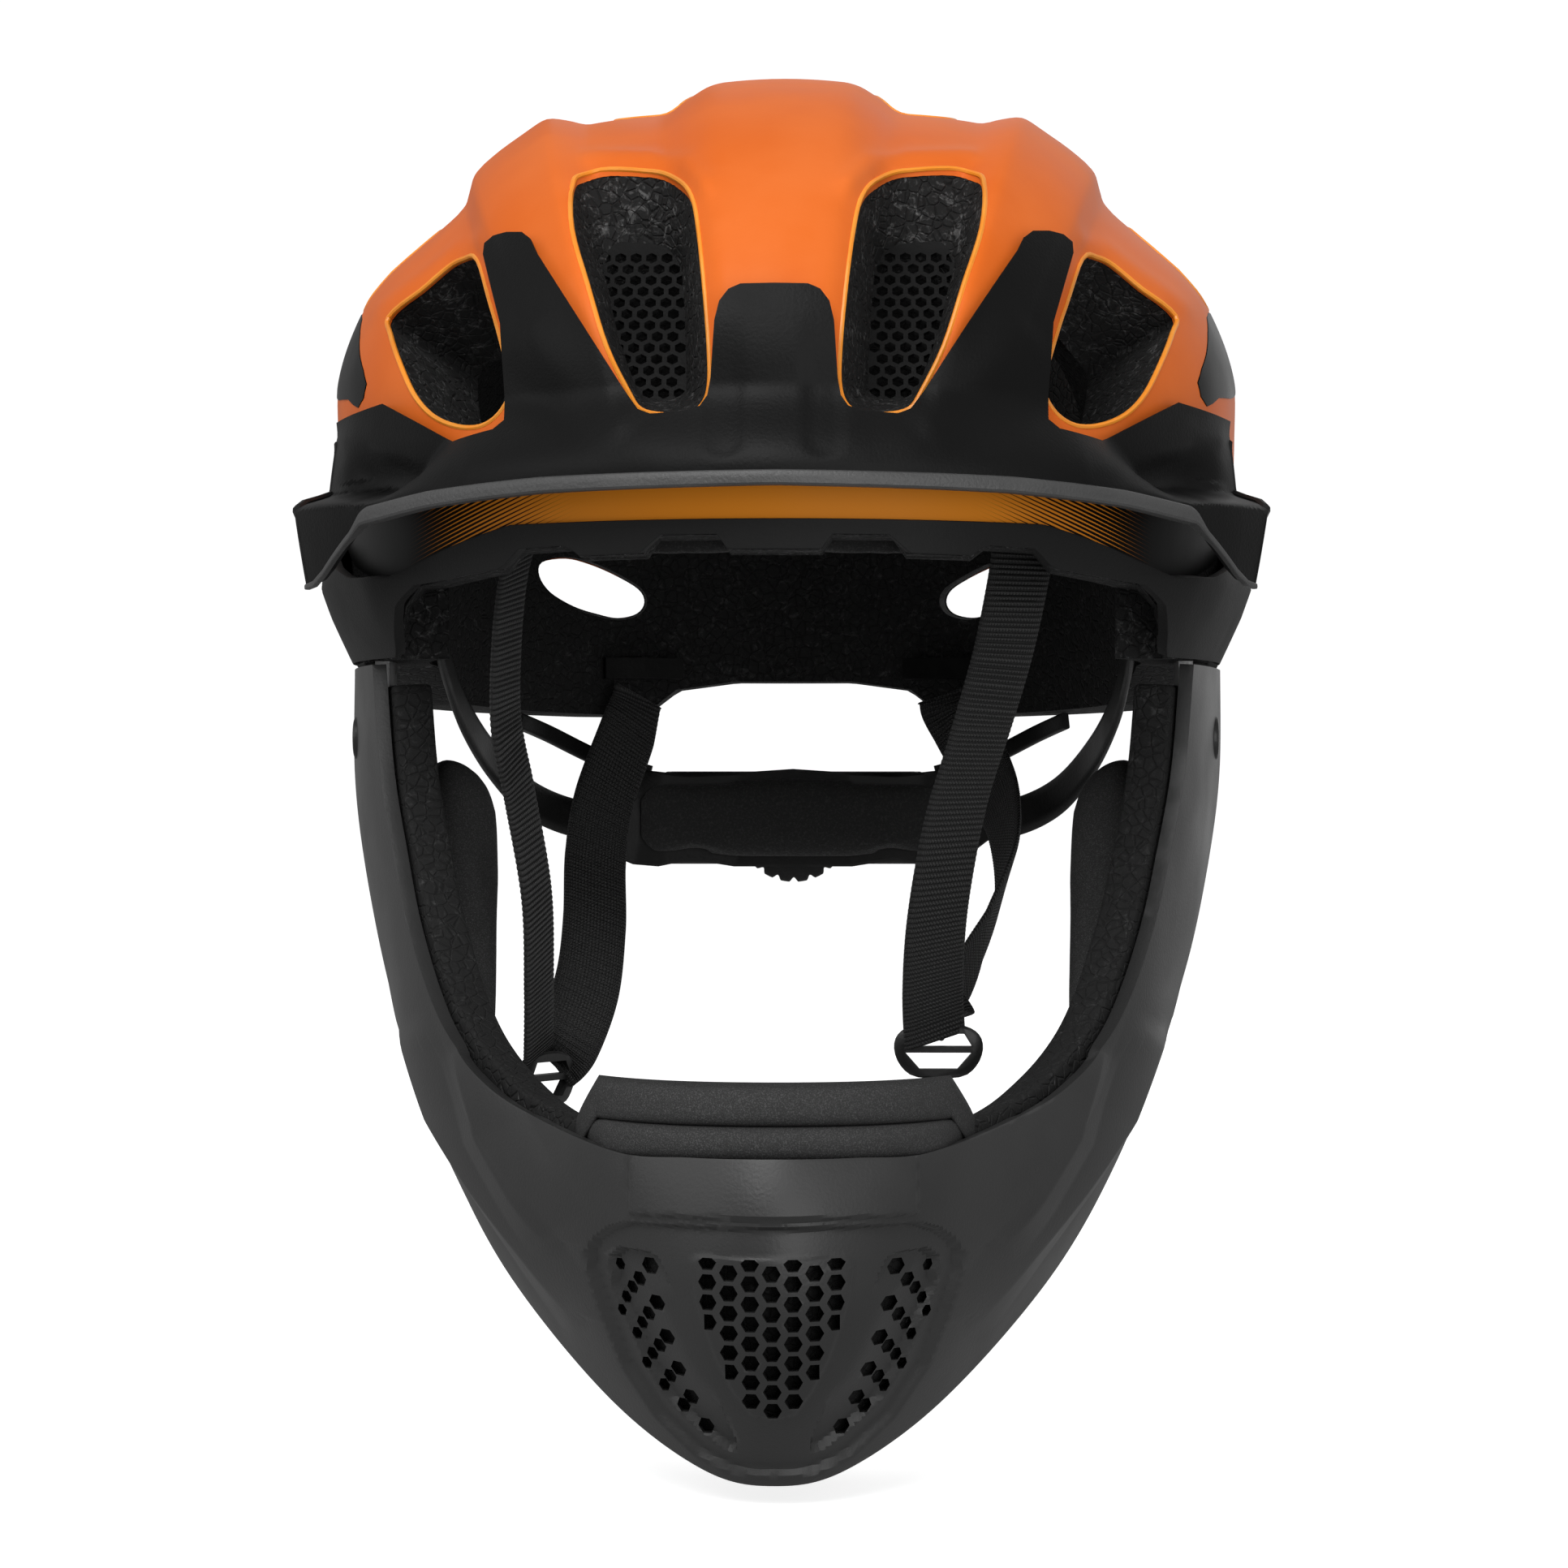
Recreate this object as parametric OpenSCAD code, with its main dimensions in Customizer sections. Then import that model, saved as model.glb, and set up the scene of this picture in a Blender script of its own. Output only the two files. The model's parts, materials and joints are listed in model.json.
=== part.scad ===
// Full face bicycle helmet: a vented crown shell, a clip-on visor and a removable chin guard
// All sizes in millimetres. +Z is up and the face looks along -Y.
// Left and right in the names are as seen from the front, so right is at +X.
// The origin is in the middle of the head cavity, near the level of its widest line.

/* [Crown shell] */
// Width of the shell over the temples
shell_w = 196; // [186:1:210]
// Length of the shell from brow to nape
shell_l = 260; // [250:1:274]
// Height of the crown above the headband
crown_z = 114; // [108:1:120]
// Thickness of the coloured outer skin
skin_t = 1.2; // [0.8:0.1:1.8]
// Height of the raised ribs along the shell
rib_h = 1.8; // [0:0.2:3]
// Depth of the valleys between the ribs
valley_d = 5.5; // [2:0.5:7]
// How far the black lower shell stands proud of the skin
rim_proud = 1.2; // [0.6:0.1:2]
// Height of the lower edge of the skin at the brow
brow_z = 11; // [9:0.5:13]
// Height of the bottom edge over the temples
temple_z = -14; // [-18:0.5:-12]

/* [Head cavity] */
// Width of the head cavity
head_w = 154; // [146:1:160]
// Length of the head cavity
head_l = 194; // [186:1:200]
// Height of the head cavity above the headband
head_h = 88; // [84:1:92]

/* [Visor] */
// Thickness of the visor
visor_t = 2.4; // [1.8:0.2:3]
// Gap between the visor and the shell
visor_gap = 0.5; // [0.3:0.1:1]
// How far the middle of the lip stands out from the shell
lip_reach = 11; // [8:0.5:14]
// How far the wings stand out from the shell
wing_reach = 20; // [16:0.5:24]
// Height of the lip's band
lip_h = 3.6; // [2.6:0.2:5]

/* [Chin guard] */
// Wall of the guard's shell
guard_t = 3; // [2.4:0.2:3.6]
// Thickness of the guard's foam liner
liner_t = 9; // [7:0.5:10]
// Thickness of the cheek pads
cheek_t = 15; // [11:0.5:16]
// Width across the flats of a vent hole
hole_w = 3.5; // [2.8:0.1:3.9]
// Distance between the columns of vent holes
hole_pitch = 4.1; // [4:0.05:4.4]
// Height of the flat bare panel above the vents
plate_h = 10; // [8:0.5:11]
// Length of the hooks that hold the guard in the shell
hook_l = 14; // [10:0.5:16]

/* [Fit system] */
// Radius of the adjuster dial
dial_r = 13.5; // [12:0.5:15]
// Radius of the pinion behind the dial
pinion_r = 5; // [4.5:0.1:5.5]
// Width of the headband
band_w = 9; // [7:0.5:11]
// Thickness of the headband
band_t = 1.6; // [1.2:0.1:2]
// Thickness of the comfort pads
pad_t = 6; // [4:0.5:8]

/* [Straps] */
// Width of the webbing
strap_w = 15; // [13:0.5:16]
// Thickness of the webbing
strap_t = 1.4; // [1:0.1:1.8]
// Width of the buckle
buckle_w = 25; // [23:0.5:28]

/* [Hidden] */

orange = [0.94, 0.42, 0.13];
black = [0.07, 0.07, 0.07];
soft_black = [0.12, 0.12, 0.12];
grey = [0.25, 0.25, 0.25];

// Plain dome: centre, half sizes, and how square its sections are
mid_y = 12;
mid_z = 40;
half_w = shell_w / 2;
half_l = shell_l / 2;
rise = crown_z - mid_z;
fall = 190;
square = 1.95;
// The ribs and valleys fan out from a line this far below the origin
fan_z = 75;
// Rings and steps of the dome's mesh, which runs this far below its middle
turns = 40;
steps = 10;
low_el = -34;
skin_gap = 0.1;

function unit(v) = v / norm(v);
function mix(a, b, k) = a + (b - a) * k;
function clamp(v, lo, hi) = min(max(v, lo), hi);
function smooth(v) = let (k = clamp(v, 0, 1)) k * k * (3 - 2 * k);

// Height of the relief over the plain dome at a place across the fan
function relief(t) = lookup(t, [[0, rib_h / 2], [0.085, rib_h / 2], [0.115, -valley_d],
    [0.2, -valley_d * 0.7], [0.25, -valley_d * 0.4], [0.28, rib_h], [0.33, rib_h],
    [0.4, 0], [0.44, -valley_d], [0.59, -valley_d * 0.8], [0.68, -0.6], [0.8, 0]]);

// The relief is full over the crown and dies away towards the brow, the sides and the nape
function relief_at(p) = relief(abs(p.x) / (p.z + fan_z)) * smooth((p.z - 22) / 34)
    * smooth((mid_y + half_l - 12 - p.y) / 40);

// Horizontal radius of the plain dome, g outside it, in direction az at height z
function level_r(az, z, g = 0) =
    let (c = (z > mid_z ? rise : fall) + g,
        s = pow(max(1 - pow(abs(z - mid_z) / c, square), 0.0001), 1 / square))
    s * pow(pow(abs(sin(az)) / (half_w + g), square)
        + pow(abs(cos(az)) / (half_l + g), square), -1 / square);
function level_pt(az, z, g = 0) =
    let (r = level_r(az, z, g), p = [r * sin(az), mid_y - r * cos(az), z])
    p + max(relief_at(p), 0) * unit([p.x, p.y - mid_y, (z - mid_z) / 2]);

// The nape draws in below the middle of the dome
nape_tuck = 13;
function tucked(p) = p - [0, nape_tuck * smooth((p.y - mid_y - 40) / 90)
    * pow(max(mid_z - p.z, 0) / (mid_z - temple_z), 1.6), 0];

// Point of the shell's surface, g outside it, in a direction seen from the middle
function dome_pt(az, el, g = 0) =
    let (d = [sin(az) * cos(el), -cos(az) * cos(el), sin(el)],
        c = (el > 0 ? rise : fall) + g,
        r = pow(pow(abs(d.x) / (half_w + g), square) + pow(abs(d.y) / (half_l + g), square)
            + pow(abs(d.z) / c, square), -1 / square),
        m = [0, mid_y, mid_z],
        p = m + r * d)
    tucked(p + relief_at(p) * d);

// Point of the plain dome straight in front of x, z
function front_pt(x, z, g = 0) =
    let (c = (z > mid_z ? rise : fall) + g,
        k = 1 - pow(abs(x) / (half_w + g), square) - pow(abs(z - mid_z) / c, square))
    [x, mid_y - (half_l + g) * pow(max(k, 0.0001), 1 / square), z];
// Point of the ribbed dome straight in front of x, z
function front_on(x, z) = let (p = front_pt(x, z)) front_pt(x, z, relief_at(p));
// Points of the plain dome behind x, z, above x, y and beside y, z
function back_pt(x, z) = let (p = front_pt(x, z)) tucked([x, 2 * mid_y - p.y, z]);
function top_pt(x, y) = [x, y, mid_z + rise * pow(max(1 - pow(abs(x) / half_w, square)
    - pow(abs(y - mid_y) / half_l, square), 0.0001), 1 / square)];
function side_pt(y, z) = [half_w * pow(max(1 - pow(abs(y - mid_y) / half_l, square)
    - pow(abs(z - mid_z) / (z > mid_z ? rise : fall), square), 0.0001), 1 / square), y, z];

// Point of the head cavity, g inside it
cavity_y = 4;
cavity_square = 2.3;
head_front = cavity_y - head_l / 2;
head_back = cavity_y + head_l / 2;
function cavity_pt(az, el, g = 0) =
    let (d = [sin(az) * cos(el), -cos(az) * cos(el), sin(el)],
        r = pow(pow(abs(d.x) / (head_w / 2 - g), cavity_square)
            + pow(abs(d.y) / (head_l / 2 - g), cavity_square)
            + pow(abs(d.z) / (head_h - g), cavity_square), -1 / cavity_square))
    [0, cavity_y, 0] + r * d;

// Closed solid between two grids of points with the same rows and columns
module slab(top, under) {
    n = len(top);
    m = len(top[0]);
    b = n * m;
    function quad(p, q, r, s) = [[p, q, r], [p, r, s]];
    polyhedron(points = concat([for (row = top) each row], [for (row = under) each row]),
        faces = concat(
            [for (i = [0 : n - 2], j = [0 : m - 2])
                each quad(i * m + j, i * m + j + 1, (i + 1) * m + j + 1, (i + 1) * m + j)],
            [for (i = [0 : n - 2], j = [0 : m - 2])
                each quad(b + i * m + j, b + (i + 1) * m + j, b + (i + 1) * m + j + 1, b + i * m + j + 1)],
            [for (j = [0 : m - 2]) each quad(j, b + j, b + j + 1, j + 1)],
            [for (j = [0 : m - 2], k = (n - 1) * m)
                each quad(k + j, k + j + 1, b + k + j + 1, b + k + j)],
            [for (i = [0 : n - 2]) each quad(i * m, (i + 1) * m, b + (i + 1) * m, b + i * m)],
            [for (i = [0 : n - 2], k = m - 1)
                each quad(i * m + k, b + i * m + k, b + (i + 1) * m + k, (i + 1) * m + k)]),
        convexity = 8);
}

// Solid of revolution-like rings that closes at a pole above and on a flat base below
module ringed(rings, pole, base) {
    n = len(rings);
    m = len(rings[0]);
    polyhedron(points = concat([for (r = rings) each r], [pole, base]),
        faces = concat(
            [for (i = [0 : n - 2], j = [0 : m - 1]) let (k = (j + 1) % m)
                each [[i * m + j, (i + 1) * m + j, (i + 1) * m + k],
                    [i * m + j, (i + 1) * m + k, i * m + k]]],
            [for (j = [0 : m - 1]) [(n - 1) * m + j, n * m, (n - 1) * m + (j + 1) % m]],
            [for (j = [0 : m - 1]) [j, (j + 1) % m, n * m + 1]]),
        convexity = 8);
}

// One mesh of all that is inside, at its own size
module one_mesh() {
    resize([0, 0, 0]) children();
}

module dome(g) {
    ringed([for (i = [0 : steps]) [for (j = [0 : turns - 1])
        dome_pt(j * 360 / turns, mix(low_el, 84, i / steps), g)]],
        dome_pt(0, 90, g), [0, mid_y, dome_pt(0, low_el, g).z]);
}

cavity_turns = 28;
cavity_steps = 6;
cavity_deep = 60;
module cavity(g = 0) {
    function ring(el) = [for (j = [0 : cavity_turns - 1]) cavity_pt(j * 360 / cavity_turns, el, g)];
    rings = [for (i = [0 : cavity_steps]) ring(mix(0, 78, i / cavity_steps))];
    ringed(concat([[for (p = ring(0)) [p.x, p.y, -cavity_deep]]], rings),
        cavity_pt(0, 90, g), [0, cavity_y, -cavity_deep]);
}

// Side view of the lower edges, from front to back, as y and z
reach = 200;
function skin_edge() = [[-reach, brow_z], [-96, brow_z], [-62, 2], [-30, 6], [0, 18], [36, 22],
    [90, 12], [reach, 6]];
function rim_edge() = [[-reach, brow_z - 3.4], [-98, brow_z - 3.4], [-72, -5], [-62, temple_z],
    [12, temple_z], [44, temple_z - 8], [100, temple_z - 10], [reach, temple_z - 10]];

// Everything above a side view edge
module above(edge, lift = 0) {
    rotate([90, 0, 90]) linear_extrude(2 * reach, center = true)
        polygon(concat([for (p = edge) p + [0, lift]], [[reach, reach], [-reach, reach]]));
}

// The arch over the nape, cut out of the lower edge at the back
arch_half = 36;
arch_rise = 8.5;
module nape_arch() {
    low = temple_z - 10;
    translate([0, mid_y + half_l / 2, low]) rotate([-90, 0, 0]) mirror([0, 1, 0]) linear_extrude(reach)
        polygon([[-arch_half, -5], [-arch_half, 0], [-arch_half + 8, arch_rise - 2], [-14, arch_rise],
            [14, arch_rise], [arch_half - 8, arch_rise - 2], [arch_half, 0], [arch_half, -5]]);
}

// Vents: corners of the left half's mouths, each on the dome in front of, above, beside or behind
centre_mouth = [for (c = [[38.5, 77], [35, 80], [22, 78.5], [19.5, 74], [18, 40], [20, 36], [26, 37],
    [31, 44]]) front_on(c.x, c.y)];
outer_mouth = [for (c = [[78, 56], [75, 62], [66.5, 63], [64, 60], [59, 40], [60, 36], [66, 35], [70, 38],
    [75, 47]]) front_on(c.x, c.y)];
crown_mouth = [for (c = [[24, -26], [37, -20], [40, 18], [34, 32], [23, 26], [20, -6]]) top_pt(c.x, c.y)];
side_mouth = [for (c = [[-12, 80], [24, 84], [34, 76], [22, 66], [-6, 63]]) side_pt(c.x, c.y)];
rear_side_mouth = [for (c = [[56, 78], [78, 70], [90, 56], [78, 44], [58, 54]]) side_pt(c.x, c.y)];
rear_mouth = [for (c = [[14, 74], [32, 70], [34, 50], [24, 36], [13, 42]]) back_pt(c.x, c.y)];
nape_mouth = [for (c = [[60, 12.5], [50, 12.5], [39, 7], [39.5, 2.5], [47, 2.5], [58, 7]])
    back_pt(c.x, c.y)];
vent_r = 3;
vent_out = 14;
function sum(v, i = 0) = i == len(v) ? [0, 0, 0] : v[i] + sum(v, i + 1);

// Channel that goes in from a mouth along lean, and narrows towards its middle
module vent(mouth, lean, shrink) {
    middle = sum(mouth) / len(mouth);
    hull() for (p = mouth) {
        translate(p - unit(lean) * vent_out) sphere(vent_r, $fn = 4);
        translate(p + [for (k = [0 : 2]) (middle[k] - p[k]) * shrink[k]] + lean) sphere(vent_r, $fn = 4);
    }
}
module vents() {
    for (side = [0, 1]) mirror([side, 0, 0]) {
        vent(centre_mouth, [-1, 36, -13], [0.1, 1, 0.35]);
        vent(outer_mouth, [-16, 36, -10], [0.35, 0.6, 0.4]);
        vent(crown_mouth, [-3, -2, -40], [0.15, 0.25, 1]);
        vent(side_mouth, [-36, 0, -18], [0.6, 0.25, 0.2]);
        vent(rear_side_mouth, [-30, -30, -16], [0.6, 0.3, 0.2]);
        vent(rear_mouth, [-2, -40, -20], [0.1, 1, 0.25]);
        vent(nape_mouth, [-2.5, -40, -1.5], [0, 1, 0]);
    }
}

// Side panel outline in side view, as y and z
panel_outline = [[-48, 43], [-23, 59], [6, 62], [12, 52], [-6, 44], [-34, 41], [-43, 38.5]];
module panel_prism(side, grow) {
    intersection() {
        rotate([90, 0, 90]) linear_extrude(2 * reach, center = true) offset(delta = grow)
            polygon(panel_outline);
        translate([side * reach / 2, 0, 0]) cube([reach - 100, 2 * reach, 2 * reach], center = true);
    }
}

module outer_shell() {
    color(orange) one_mesh() difference() {
        intersection() {
            dome(0);
            above(skin_edge(), 0.15);
        }
        dome(-skin_t);
        vents();
        for (side = [-1, 1]) panel_prism(side, 0.2);
        peg_holes();
    }
}

module side_panel(side) {
    color(black) one_mesh() difference() {
        intersection() {
            dome(0.1);
            panel_prism(side, 0);
        }
        dome(-skin_t);
        vents();
    }
}

// Brow tabs of the lower shell, as the middle and half width of each
tabs = [[-32, 8], [0, 9.5], [32, 8]];
tab_drop = 3.4;

module lower_shell() {
    color(black) one_mesh() difference() {
        union() {
            difference() {
                intersection() {
                    dome(rim_proud);
                    above(rim_edge());
                }
                above(skin_edge());
                nape_arch();
            }
            for (t = tabs) intersection() {
                dome(rim_proud);
                translate([t[0], -half_l, brow_z - 3.4 + (2 - tab_drop) / 2])
                    cube([2 * t[1], 90, 2 + tab_drop], center = true);
            }
        }
        dome(-skin_t);
        vents();
        pockets(0);
    }
}

// The foam comes in two halves that meet in the middle plane
module foam_liner(side) {
    color(soft_black) one_mesh() difference() {
        intersection() {
            dome(-skin_t - skin_gap);
            above(rim_edge(), 0.3);
            translate([side * reach / 2, 0, 0]) cube([reach, 2 * reach, 2 * reach], center = true);
        }
        cavity();
        vents();
        nape_arch();
        pockets(0.2);
        peg_holes();
        for (side = [-1, 1]) net_frame(side, 0.2);
        front_anchor_boxes(0.3);
        rear_anchor_boxes(0.3);
    }
}

// Visor: side ends by height, lip height and reach by direction, front outline of the prongs
visor_top = 74;
wing_az = 54;
function end_az(z) = lookup(z, [[0, 53], [16, 57], [36, 63.5], [visor_top, 66]]);
function lip_z(az) = lookup(abs(az), [[0, 16.8], [12, 16.6], [22, 15.2], [32, 11.8], [42, 7],
    [57, -1]]);
function flare(az) = mix(lip_reach, wing_reach, pow(clamp(abs(az) / wing_az, 0, 1), 1.6));
prongs = [[0, 56.3], [10.5, 56.3], [13.6, 52.5], [14.4, 34.5], [17, 31.5], [25.4, 31.4], [31, 39.4],
    [47.6, 65.1], [50.3, 69.5], [58.8, 69.3], [59.9, 66.6], [55.7, 50.6], [54.8, 36], [54.2, 30.5],
    [64.2, 28], [81, 37.5], [93, 36.1], [112, 34]];

// Outer point of the visor: v is 0 at the lip and 1 at the top, and the brim leaves the shell at its root
function visor_pt(u, v, g) =
    let (z0 = lip_z(u * wing_az),
        z = mix(z0, visor_top, v),
        az = u * end_az(z),
        lift = 1 - smooth((z - z0) / 18),
        out = flare(az) * lift * (1 - 0.12 * lift))
    level_pt(az, z, visor_gap + out + g);

module visor_plate() {
    columns = 22;
    rows = [0, 0.08, 0.16, 0.25, 0.36, 0.5, 0.75, 1];
    slab([for (i = [0 : columns]) [for (v = rows) visor_pt(2 * i / columns - 1, v, visor_t)]],
        [for (i = [0 : columns]) [for (v = rows) visor_pt(2 * i / columns - 1, v, 0)]]);
    function lip(g) = [for (i = [0 : columns]) let (p = visor_pt(2 * i / columns - 1, 0.02, g))
        [p - [0, 0, lip_h], p]];
    slab(lip(visor_t + 0.2), lip(0));
}

module visor() {
    color(soft_black) one_mesh() {
        difference() {
            intersection() {
                visor_plate();
                rotate([90, 0, 0]) linear_extrude(2 * reach, center = true) offset(r = 1.2, $fn = 8)
                    offset(delta = -1.2) polygon(concat(prongs, [[112, -20], [-112, -20]],
                        [for (i = [len(prongs) - 1 : -1 : 1]) [-prongs[i].x, prongs[i].y]]));
            }
            dome(visor_gap / 2);
        }
        for (side = [-1, 1]) peg(side, peg_r, peg_l);
        clip(0, clip_l);
    }
}

// Pegs behind the diagonal prongs and the clip behind the middle one
peg_x = 54.5;
peg_z = 60;
peg_r = 2.2;
peg_l = 9;
clip_z = 46;
clip_l = 8;
peg_fit = 0.2;
module peg(side, r, long) {
    p = front_pt(side * peg_x, peg_z, visor_gap + 0.8);
    translate(p) rotate([-90, 0, 0]) cylinder(r = r, h = long, $fn = 16);
}
module clip(grow, long) {
    p = front_pt(0, clip_z, visor_gap + 0.8);
    translate([-4.5 - grow, p.y, clip_z - 3 - grow]) cube([9 + 2 * grow, long, 6 + 2 * grow]);
}
module peg_holes() {
    for (side = [-1, 1]) peg(side, peg_r + peg_fit, peg_l + 2);
    clip(peg_fit, clip_l + 2);
}

// Insect nets at the inner mouths of the middle vents
net_x = 27;
net_z = 47;
net_tilt = -28;
net_w = 22;
net_h = 32;
net_t = 1;
net_bore = 2.4;
net_step = 3.1;
function net_place(side) = [side * net_x, cavity_pt(atan(net_x / 86), 29).y - 10, net_z];
module net_at(side) {
    translate(net_place(side)) rotate([90 + net_tilt, 0, 0]) children();
}
module net_frame(side, grow) {
    net_at(side) linear_extrude(net_t + 2 * grow, center = true)
        square([net_w + 2 * grow, net_h + 2 * grow], center = true);
}
module net(side) {
    nx = floor((net_w - 4) / net_step);
    nz = floor((net_h - 4) / (net_step * 0.87));
    color(black) net_at(side) linear_extrude(net_t, center = true) difference() {
        square([net_w, net_h], center = true);
        for (i = [0 : nx - 1], j = [0 : nz - 1])
            translate(net_step * [i - (nx - 1) / 2 + (j % 2 - 0.5) / 2, (j - (nz - 1) / 2) * 0.87])
                rotate(30) circle(net_bore / 2, $fn = 6);
    }
}

// Chin guard: the front edge and the rear edge from the temple round to the chin, and how far it bulges
guard_gap = 1;
liner_gap = 0.7;
guard_top = temple_z - guard_gap;
guard_front = [[86, -38, guard_top], [84, -41, -37], [80.5, -48, -54], [76, -58, -71],
    [69, -71, -87], [59, -87, -98], [48.5, -101, -104.5], [30, -126, -110], [15, -137, -110.5],
    [0, -142, -110.5]];
guard_rear = [[95.3, 12, guard_top], [94.8, 7, -37], [92, 0, -56], [87, -6, -78], [79, -19, -99],
    [69, -37, -121], [56, -64, -141], [34, -95, -161], [14, -115, -172], [0, -120, -174.5]];
guard_bulge = [1.5, 1.5, 2, 3, 5, 7, 9, 11, 12, 13];

function spline(v, s) =
    let (n = len(v) - 1, k = clamp(floor(s * n), 0, n - 1), f = s * n - k,
        a = v[max(k - 1, 0)], b = v[k], c = v[k + 1], d = v[min(k + 2, n)])
    0.5 * (2 * b + (c - a) * f + (2 * a - 5 * b + 4 * c - d) * f * f
        + (3 * b - a - 3 * c + d) * f * f * f);

// Point on the guard's outer face: s runs from -1 at the right temple over 0 at the chin to 1
function guard_face(s, w) =
    let (k = 1 - abs(s),
        a = spline(guard_front, k),
        b = spline(guard_rear, k),
        out = unit([a.x, (a.y + b.y) / 2 + 20, -18 * k]),
        p = mix(a, b, w) + out * spline(guard_bulge, k) * 4 * w * (1 - w) * (1 - 0.3 * w))
    [p.x * sign(s + 0.00001), p.y, p.z];
function guard_pt(s, w, g) =
    let (e = 0.01,
        a = guard_face(clamp(s - e, -1, 1), w) - guard_face(clamp(s + e, -1, 1), w),
        b = guard_face(s, w + e) - guard_face(s, w - e))
    guard_face(s, w) + unit(cross(b, a)) * g;
module guard_layer(s0, s1, w0, w1, g0, g1, columns = 32, rows = 8) {
    function sheet(g) = [for (i = [0 : columns]) [for (j = [0 : rows])
        guard_pt(mix(s0, s1, i / columns), mix(w0, w1, j / rows), g)]];
    slab(sheet(g1), sheet(g0));
}

// Vent holes of the guard: the middle field narrows downwards and two slanted fields flank it
field_top = -127;
row_step = 3.9;
module hole(x, z) {
    translate([x, -150, z]) rotate([90, 0, 0]) cylinder(d = hole_w, h = 90, center = true, $fn = 6);
}
column_rows = [8, 7, 6, 4];
side_rows = 8;
module holes() {
    for (i = [-3 : 3], j = [0 : column_rows[abs(i)] - 1])
        hole(i * hole_pitch, field_top - (j + (abs(i) % 2) / 2) * row_step);
    for (side = [-1, 1], j = [0 : side_rows - 1], i = [0 : (j < 3 ? 2 : 1)])
        hole(side * (32 - j * 2.6 - i * hole_pitch * 0.72),
            field_top + 0.5 - (j * 1.12 + (i % 2) * 0.56) * row_step);
}

module guard_shell() {
    color(grey) one_mesh() difference() {
        union() {
            guard_layer(-1, 1, 0, 1, 0, guard_t, 20, 5);
            plate();
        }
        holes();
        hook_slots(0.2);
        buttons(0.3, 30);
    }
}

// Flat bare panel on the chin, above the vents
plate_s = 0.2;
plate_up = 0.8;
module plate() {
    w = 0.02 + plate_h / 64;
    guard_layer(-plate_s, plate_s, 0.02, w, -plate_up, guard_t / 2, 6, 1);
}

// The foam leaves the vents free: half width, top and bottom of the part cut out behind them
vent_half = 34;
vent_top = -126;
vent_low = -168;
module guard_liner() {
    color(soft_black) one_mesh() difference() {
        guard_layer(-0.97, 0.97, 0.03, 0.92, guard_t + liner_gap, guard_t + liner_t, 20, 4);
        translate([-vent_half, -reach, vent_low]) cube([2 * vent_half, reach - 90, vent_top - vent_low]);
        hook_slots(screw_room);
        buttons(0.3, 30);
    }
}

// Chin pad: a crowned bar with a groove, along the inside of the guard's upper edge, and its section
// as the place along y and z from the pad's own line
pad_half = 38;
pad_y = -121;
pad_z = -109.8;
pad_back = 13;
pad_section = [[-4, -1.6], [-3, 4], [-4, 11], [-7, 13], [-14, 13], [-16.4, 11.5], [-17, 7.4],
    [-15.8, 6.2], [-17, 5], [-17, 0.2], [-16, -1.6]];
module chin_pad() {
    n = 14;
    m = len(pad_section);
    function ring(k) = [for (c = pad_section) [k * pad_half,
        pad_y + c.x + pad_back * (pow(k, 2) + pow(k, 4)),
        pad_z + 3.4 * k * k + c.y * (1 - 0.3 * pow(k, 6))]];
    color(soft_black) polyhedron(
        points = [for (i = [0 : n]) each ring(2 * i / n - 1)],
        faces = concat(
            [for (i = [0 : n - 1], j = [0 : m - 1]) let (k = (j + 1) % m)
                each [[i * m + j, (i + 1) * m + j, (i + 1) * m + k],
                    [i * m + j, (i + 1) * m + k, i * m + k]]],
            [[for (j = [0 : m - 1]) j], [for (j = [m - 1 : -1 : 0]) n * m + j]]));
}

// How full a pad is at a place across it, from 0 at its edges to 1 in its middle
function crowned(i, j) = pow(1 - pow(2 * i - 1, 4), 0.5) * pow(1 - pow(2 * j - 1, 4), 0.5);

// Cheek pads on the liner, crowned towards the face
cheek_gap = 0.4;
module cheek_pad(side) {
    n = 8;
    function layer(share) = [for (i = [0 : n]) [for (j = [0 : n])
        guard_pt(mix(0.56, 0.93, i / n), mix(0.3, 0.86, j / n), guard_t + liner_t + cheek_gap
            + share * cheek_t * (0.35 + 0.65 * crowned(i / n, j / n)))]];
    color(soft_black) mirror([side < 0 ? 1 : 0, 0, 0]) slab(layer(1), layer(0));
}

// Hooks of the guard, the sockets that they go into, and the release buttons
hook_x = 85;
hook_y = -20;
hook_w = 16;
hook_t = 3;
hook_tail = 20;
screw_head = 1.6;
screw_room = screw_head + 0.4;
socket_wall = 1.2;
module hook_slots(grow) {
    for (side = [-1, 1]) translate([side * hook_x, hook_y, guard_top - 8])
        cube([hook_t + 2 * grow, hook_w + 2 * grow, 30], center = true);
}
module pockets(grow) {
    w = hook_t + 2 * socket_wall + 2 * grow;
    d = hook_w + 2 * socket_wall + 2 * grow + 0.4;
    for (side = [-1, 1]) translate([side * hook_x - w / 2, hook_y - d / 2, temple_z - hook_tail])
        cube([w, d, hook_tail + hook_l + 2 + grow]);
}
module guard_hooks() {
    color(black) for (side = [-1, 1])
        translate([side * hook_x - hook_t / 2, hook_y - hook_w / 2, guard_top - hook_tail])
            cube([hook_t, hook_w, hook_tail + hook_l]);
}
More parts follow.
